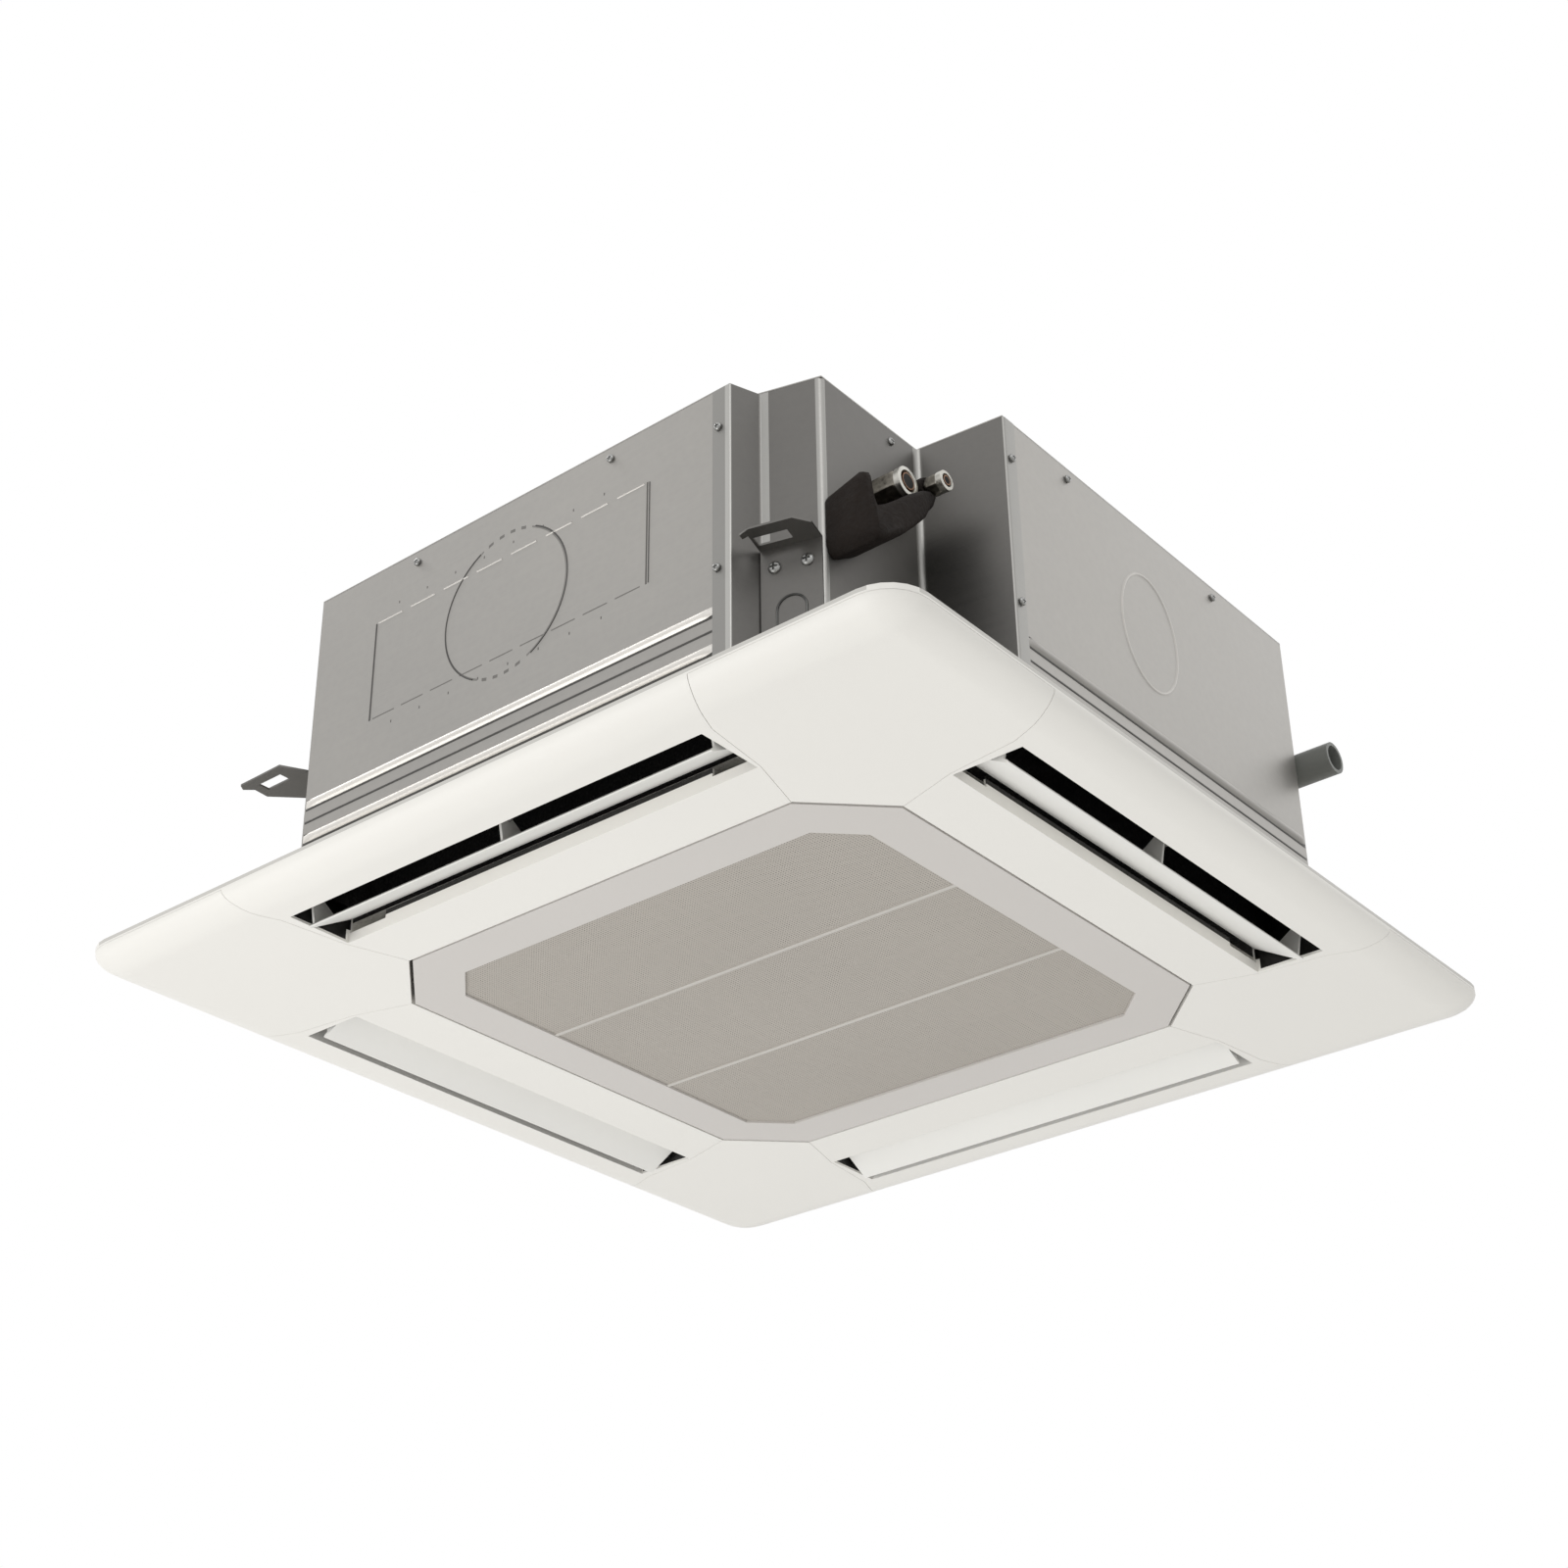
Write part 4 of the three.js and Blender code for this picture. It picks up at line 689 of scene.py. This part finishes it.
def copper(name, tone):
    """Drawn copper with light tarnish clouds, and painted shade where the two pipes are open."""
    coating = Coating(name, 0.34, 1.0)
    tarnish = coating.noise(120.0, 3.0)
    colour = coating.mix(tarnish, linear(tone, 0.62), linear(tone))
    # Painted shade in the open pipe mouths.
    mouth_shades = pipe_mouth_shade(coating, GAS_END, 0.0069) | pipe_mouth_shade(coating, LIQUID_END, 0.0036)
    colour = coating.mix(mouth_shades, colour, linear((12, 10, 9)))
    coating.paint(Base_Color=colour, Roughness=0.26 + tarnish * 0.2)
    return coating.relief(tarnish, 0.0001)


def nut_finish(name):
    """Plated brass with stain mottle, darkened behind by painted shade and bright on the flared cap by a
    painted highlight.
    """
    coating = Coating(name, 0.3, 1.0)
    stain = coating.noise(210.0, 4.0)
    cap = (coating.x > 0.3865) | (coating.x > 0.3712) * (coating.y < -0.3)
    # Painted shade behind the cap and a painted highlight on it.
    shaded_back = coating.mix(stain, linear((50, 47, 43)), linear((168, 163, 152)))
    bright = coating.mix(stain, linear((168, 166, 160)), linear((226, 224, 216)))
    coating.paint(Base_Color=coating.mix(cap, shaded_back, bright), Roughness=0.2 + stain * 0.25)
    return coating.relief(stain, 0.0002)


dress(copper("drawn_copper", (170, 132, 108)), "gas_pipe", "liquid_pipe")


def flare_nut(name, tip, across, hole, length, node):
    """A hexagon whose radius is across/2 over the cosine from the nearest flat, cut round at both ends.

    Rings run from the collar at the back to the open flare cap at the tip, then back down the hole."""
    angle = np.linspace(0, 2 * np.pi, 72, endpoint=False)
    flat = across / 2 / np.cos((angle + np.pi / 6) % (np.pi / 3) - np.pi / 6)
    corner = across / 2 / np.cos(np.pi / 6)
    places = np.array((-length, -length, -length + 0.0012, -length + 0.003, -0.0078, -0.0062,
                       -0.006, -0.0058, -0.0004, 0.0, 0.0, -0.004))
    even = np.ones(len(angle))
    reach = np.stack([hole * even, np.minimum(flat, corner * 0.86), np.minimum(flat, corner * 0.93),
                      flat, flat, np.minimum(flat, corner * 0.92), across * 0.42 * even, across * 0.56 * even,
                      across * 0.56 * even, across * 0.52 * even, hole * 1.25 * even, hole * even])
    grid = np.stack((np.broadcast_to(tip[0] + places[:, None], reach.shape), tip[1] + reach * np.cos(angle),
                     tip[2] + reach * np.sin(angle)), -1)
    nut = shell(name, grid, nut_metal, closed=True, crease=28)
    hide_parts(node)


nut_metal = nut_finish("plated_brass")
flare_nut("gas_nut", GAS_END, 0.0245, 0.0083, 0.0395, "gas_flare_nut")
flare_nut("liquid_nut", LIQUID_END, 0.0168, 0.0051, 0.018, "liquid_flare_nut")

seal = Coating("foam_rubber", 0.8, Specular_IOR_Level=0.2)
pores = seal.noise(240.0, 4.0)
patch = seal.noise(26.0, 2.0)
seal.paint(Base_Color=seal.mix(patch * 0.7 + pores * 0.3, linear((9, 7, 6)), linear((40, 32, 27))),
           Roughness=0.6 + pores * 0.3)
seal.relief(pores, 0.0012)


def foam_trough(rounding=0.006):
    """A block that hangs below the pipes: slices along the wall, each a quadrilateral with rounded corners.

    A slice runs from (WALL, low) to (reach_low, low), up to (reach_top, top) and back to (WALL, top). Every
    corner away from the wall is cut twice, at 1 and at 0.3 of the rounding. In the rows of slices, which are
    in millimetres, low and top stand over the ceiling."""
    slices = np.array(((-377, 362, 140, 370, 192), (-374.5, 378, 132, 375, 197), (-369, 384, 129, 376, 199),
                       (-362, 386, 132, 371, 192), (-355, 386, 137, 371, 176), (-345, 386, 143, 378, 180),
                       (-336, 386, 150, 382, 187), (-327, 386, 159, 384, 195), (-318, 386, 168, 386, 202),
                       (-306, 386, 181, 386, 211), (-295, 384, 199, 384, 217), (-284, 378, 208, 380, 220),
                       (-272, 356, 212, 360, 222), (-264, 342, 216, 342, 221))) / 1000
    along, reach_low, low, reach_top, top = slices.T
    turn = np.minimum(rounding, (top - low) * 0.3)
    x = np.stack((0 * low + WALL, reach_low - turn, reach_low - 0.3 * turn, reach_low, reach_top,
                  reach_top - 0.3 * turn, reach_top - turn, 0 * low + WALL), -1)
    z = np.stack((low, low, low + 0.3 * turn, low + turn, top - turn, top - 0.3 * turn, top,
                  top - np.clip(-0.355 - along, 0, 0.01)), -1)
    return np.stack((x, np.broadcast_to(along[:, None], x.shape), CEILING + z), -1)


trough = shell("foam_trough", foam_trough(), seal, crease=50)
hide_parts("pipe_cover")


def turned(profile, foot, axis, count=40):
    """A profile of (radius, place along the axis) swept round the axis: ring i has radius profile[i, 0]."""
    profile = np.array(profile, float)
    axis = np.array(axis, float)
    side = np.cross(axis, (0, 0, 1.0) if abs(axis[2]) < 0.9 else (1.0, 0, 0))
    side = side / np.linalg.norm(side)
    up = np.cross(axis, side)
    angle = np.linspace(0, 2 * np.pi, count, endpoint=False)
    circle = np.cos(angle)[:, None] * side + np.sin(angle)[:, None] * up
    return np.array(foot) + profile[:, None, 1:] * axis + profile[:, None, :1] * circle[None]


sleeve = [(0.0055, 0), (0.0105, 0), (0.0112, 0.002), (0.0112, 0.036), (0.0105, 0.038), (0.0055, 0.038)]
sleeve_grid = turned(sleeve, (WALL, *LIQUID_END[1:]), (1, 0, 0))
shell("liquid_sleeve", sleeve_grid, seal, closed=True)


# ---- Hanging brackets: pressed steel plates with a slotted tongue, hung on four threaded rods ----
# Each is screwed flat on a cut corner of the casing.
# The brackets are a darker copy of the zinc: painted shade.
bracket_shaded_zinc = zinc("zinc_bracket_painted_shade", painted_light_share=0.7)
dress(bracket_shaded_zinc, "hanging_bracket_piping", "hanging_bracket_left", "hanging_bracket_far",
      "hanging_bracket_drain")
notch_along = np.array((0.962, 0.275, 0))
notch_out = np.array((0.275, -0.962, 0))
notch_middle = np.array((0.307, -0.386, CEILING))
upward = np.array((0, 0, 1.0))
PLATE, CORNER_CUT = 0.0023, 0.184
bracket_spots = [notch_middle + u * notch_along + PLATE * notch_out + 0.127 * upward
                 for u in (-0.0145, 0.0145)]
screw_heads("bracket_screws_piping", bracket_spots, notch_out, 0.0055)
for name, way in (("left", (-1, -1)), ("far", (-1, 1)), ("drain", (1, 1))):
    out = np.array((*way, 0)) / np.sqrt(2)
    along = np.array((-out[1], out[0], 0))
    face = out * ((2 * HALF - CORNER_CUT) / np.sqrt(2) + PLATE)
    low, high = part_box(f"hanging_bracket_{name}")
    centre = (np.array(low) + np.array(high)) / 2
    spots = [face + along * (centre @ along + u) + (CEILING + 0.085) * upward for u in (-0.012, 0.012)]
    screw_heads(f"bracket_screws_{name}", spots, out, 0.005)


def arch_path(width, height, steps=14):
    """Up one side, round a half circle and down the other, as (across, up) from the foot's middle."""
    angle = np.linspace(np.pi, 0, steps)
    top = np.column_stack((np.cos(angle) * width / 2, height - width / 2 + np.sin(angle) * width / 2))
    return np.concatenate(([(-width / 2, 0)], top, [(width / 2, 0)]))


def on_bracket(flat):
    """Places or directions drawn on the notch's bracket as (across, up), set in the room."""
    return flat[:, None, :1] * notch_along + flat[:, None, 1:] * upward


def arch_rim(thick=0.0011, foot=0.067):
    """A rod along the arch pressed in the bracket: circles that hold the ray from the arch's heart."""
    arch = arch_path(0.026, 0.03)
    ray = arch - np.array((0, 0.012))
    ray = ray / np.linalg.norm(ray, axis=1)[:, None]
    around = np.linspace(0, 2 * np.pi, 8, endpoint=False)[None, :, None]
    circle = np.cos(around) * on_bracket(ray) + np.sin(around) * notch_out
    return notch_middle + on_bracket(arch) + foot * upward + (PLATE + 0.0001) * notch_out + thick * circle


shell("bracket_window", arch_rim(), bright_steel("window_edge", (90, 90, 88)))


# ---- Decoration panel: one white moulded frame with four outlets, and a loose cover on each corner ----
# The outlet ducts behind the face are painted black as shade. The plastic is ivory white with a fine matt
# grain.
IVORY = (242, 240, 235)
OUTLET_INNER, OUTLET_OUTER, OUTLET_END = 0.356, 0.4195, 0.2416


def panel_white(name, shaded_ducts=True):
    """Ivory plastic. Each outlet duct is painted black inside as shade, apart from the bearing in the middle,
    and the upright rim against the ceiling is painted grey as shade."""
    coating = Coating(name, 0.42)
    fine = coating.noise(1100.0, 2.0)
    drift = coating.noise(4.0, 2.0)
    colour = coating.mix(drift, linear(np.array(IVORY) - 3), linear(IVORY))
    x, y = abs(coating.x), abs(coating.y)
    far, near = x | y, x & y
    # Painted shade: the upright rim against the ceiling is darkened to grey.
    rim = (far > 0.4738) * (coating.z > CEILING - 0.0036)
    colour = coating.mix(rim, colour, linear((205, 203, 198)))
    if shaded_ducts:
        # Painted shade: the outlet ducts are black inside, apart from the bearing.
        walls = (far > OUTLET_INNER) * (far < OUTLET_OUTER) * (coating.z > CEILING - 0.0195)
        lip = (far > OUTLET_INNER - 0.0041) * (far < OUTLET_INNER + 0.001) * (coating.z > CEILING - 0.009)
        outer = (far > OUTLET_OUTER) * (far < OUTLET_OUTER + 0.0022) * (coating.z > CEILING - 0.003)
        duct = (walls | lip | outer) * (near < OUTLET_END)
        bearing = (near < 0.0085) * (far < 0.405) * (far > 0.385)
        duct_shade_colour = coating.mix(bearing, linear((12, 11, 10)), linear((126, 125, 122)))
        colour = coating.mix(duct, colour, duct_shade_colour)
    coating.paint(Base_Color=colour, Roughness=0.36 + fine * 0.14)
    return coating.relief(fine, 0.0001)


dress(panel_white("panel_ivory"), "panel_frame")
dress(panel_white("cover_ivory", False), "corner_cover_piping", "corner_cover_drain", "corner_cover_far",
      "corner_cover_left")


# ---- Air vanes: four thin white blades on end pins, each turned by a small motor ----
# They stand 30 degrees open, which shows the duct above them, painted black as shade.
vane_white = moulded("vane_plastic", (240, 239, 235), 0.0001, 0.4, 0.015)
dress(vane_white, "vane_a", "vane_b", "vane_c", "vane_d")
dress(grey_plastic, "vane_motor_a", "vane_motor_b", "vane_motor_c", "vane_motor_d")


# ---- Intake grille: a light grey frame that swings down on two ears, with a fine mesh in its window ----
# Behind the mesh lie a stiff lattice and the washable filter; two white catches hold the front edge.
grille_grey = moulded("grille_plastic", (212, 208, 204), 0.0001, 0.42, 0.015)
dress(grille_grey, "grille_frame")
dress(panel_white("catch_ivory", False), "grille_catch_1", "grille_catch_2")
dress(moulded("lattice_plastic", (162, 157, 150)), "grille_lattice")
WINDOW, CUT = 0.241, 0.036


def filter_cloth(name):
    """A woven plastic net, 1.2 mm between threads."""
    coating = Coating(name, 0.6)
    weave = (coating.sine(coating.x, 0.0024) * coating.sine(coating.y, 0.0024)) * 0.5 + 0.5
    coating.paint(Base_Color=coating.mix(weave, linear((38, 37, 36)), linear((92, 90, 87))))
    return coating.relief(weave, 0.0004)


dress(filter_cloth("filter_net"), "air_filter")


def mesh_bars(lengthways, pitch=0.003, width=0.0022, depth=0.0005):
    """Thin bars across an eight-sided window: a bar at offset t reaches min(R, 2R - cut - t) each way.

    Every bar is a diamond section swept between its two ends."""
    count = int(2 * WINDOW / pitch)
    offset = (np.arange(count) - (count - 1) / 2) * pitch
    reach = np.minimum(WINDOW, 2 * WINDOW - CUT - abs(offset)) + 0.001
    along = np.stack((-reach, reach), 1)[:, :, None] + np.zeros((1, 1, 4))
    across = offset[:, None, None] + np.array((-width / 2, 0, width / 2, 0))[None, None]
    height = CEILING - 0.0196 + np.array((0, -depth / 2, 0, depth / 2))[None, None] + 0 * along
    first, second = (along, across + 0 * along) if lengthways else (across + 0 * along, along)
    return np.stack((first, second, height), -1)


mesh_taupe = moulded("mesh_plastic", (184, 178, 170), 0.0001, 0.5, 0.03)
shell("intake_mesh", np.concatenate((mesh_bars(True), mesh_bars(False))), mesh_taupe,
      "intake_grille", crease=20)


def mesh_rib(middle, width=0.0046, depth=0.0018):
    """A rib across the window: a flat bar with rounded lower edges."""
    reach = WINDOW + 0.001
    section = np.array(((-0.5, 0.5), (-0.5, -0.2), (-0.32, -0.5), (0.32, -0.5), (0.5, -0.2), (0.5, 0.5)))
    grid = np.zeros((2, 6, 3))
    grid[..., 0] = np.array((-reach, reach))[:, None]
    grid[..., 1] = middle + section[None, :, 0] * width
    grid[..., 2] = CEILING - 0.0203 + section[None, :, 1] * depth
    return grid


shell("mesh_ribs", np.stack((mesh_rib(-0.082), mesh_rib(0.082))), moulded("rib_plastic", (204, 200, 194)),
      "intake_grille")
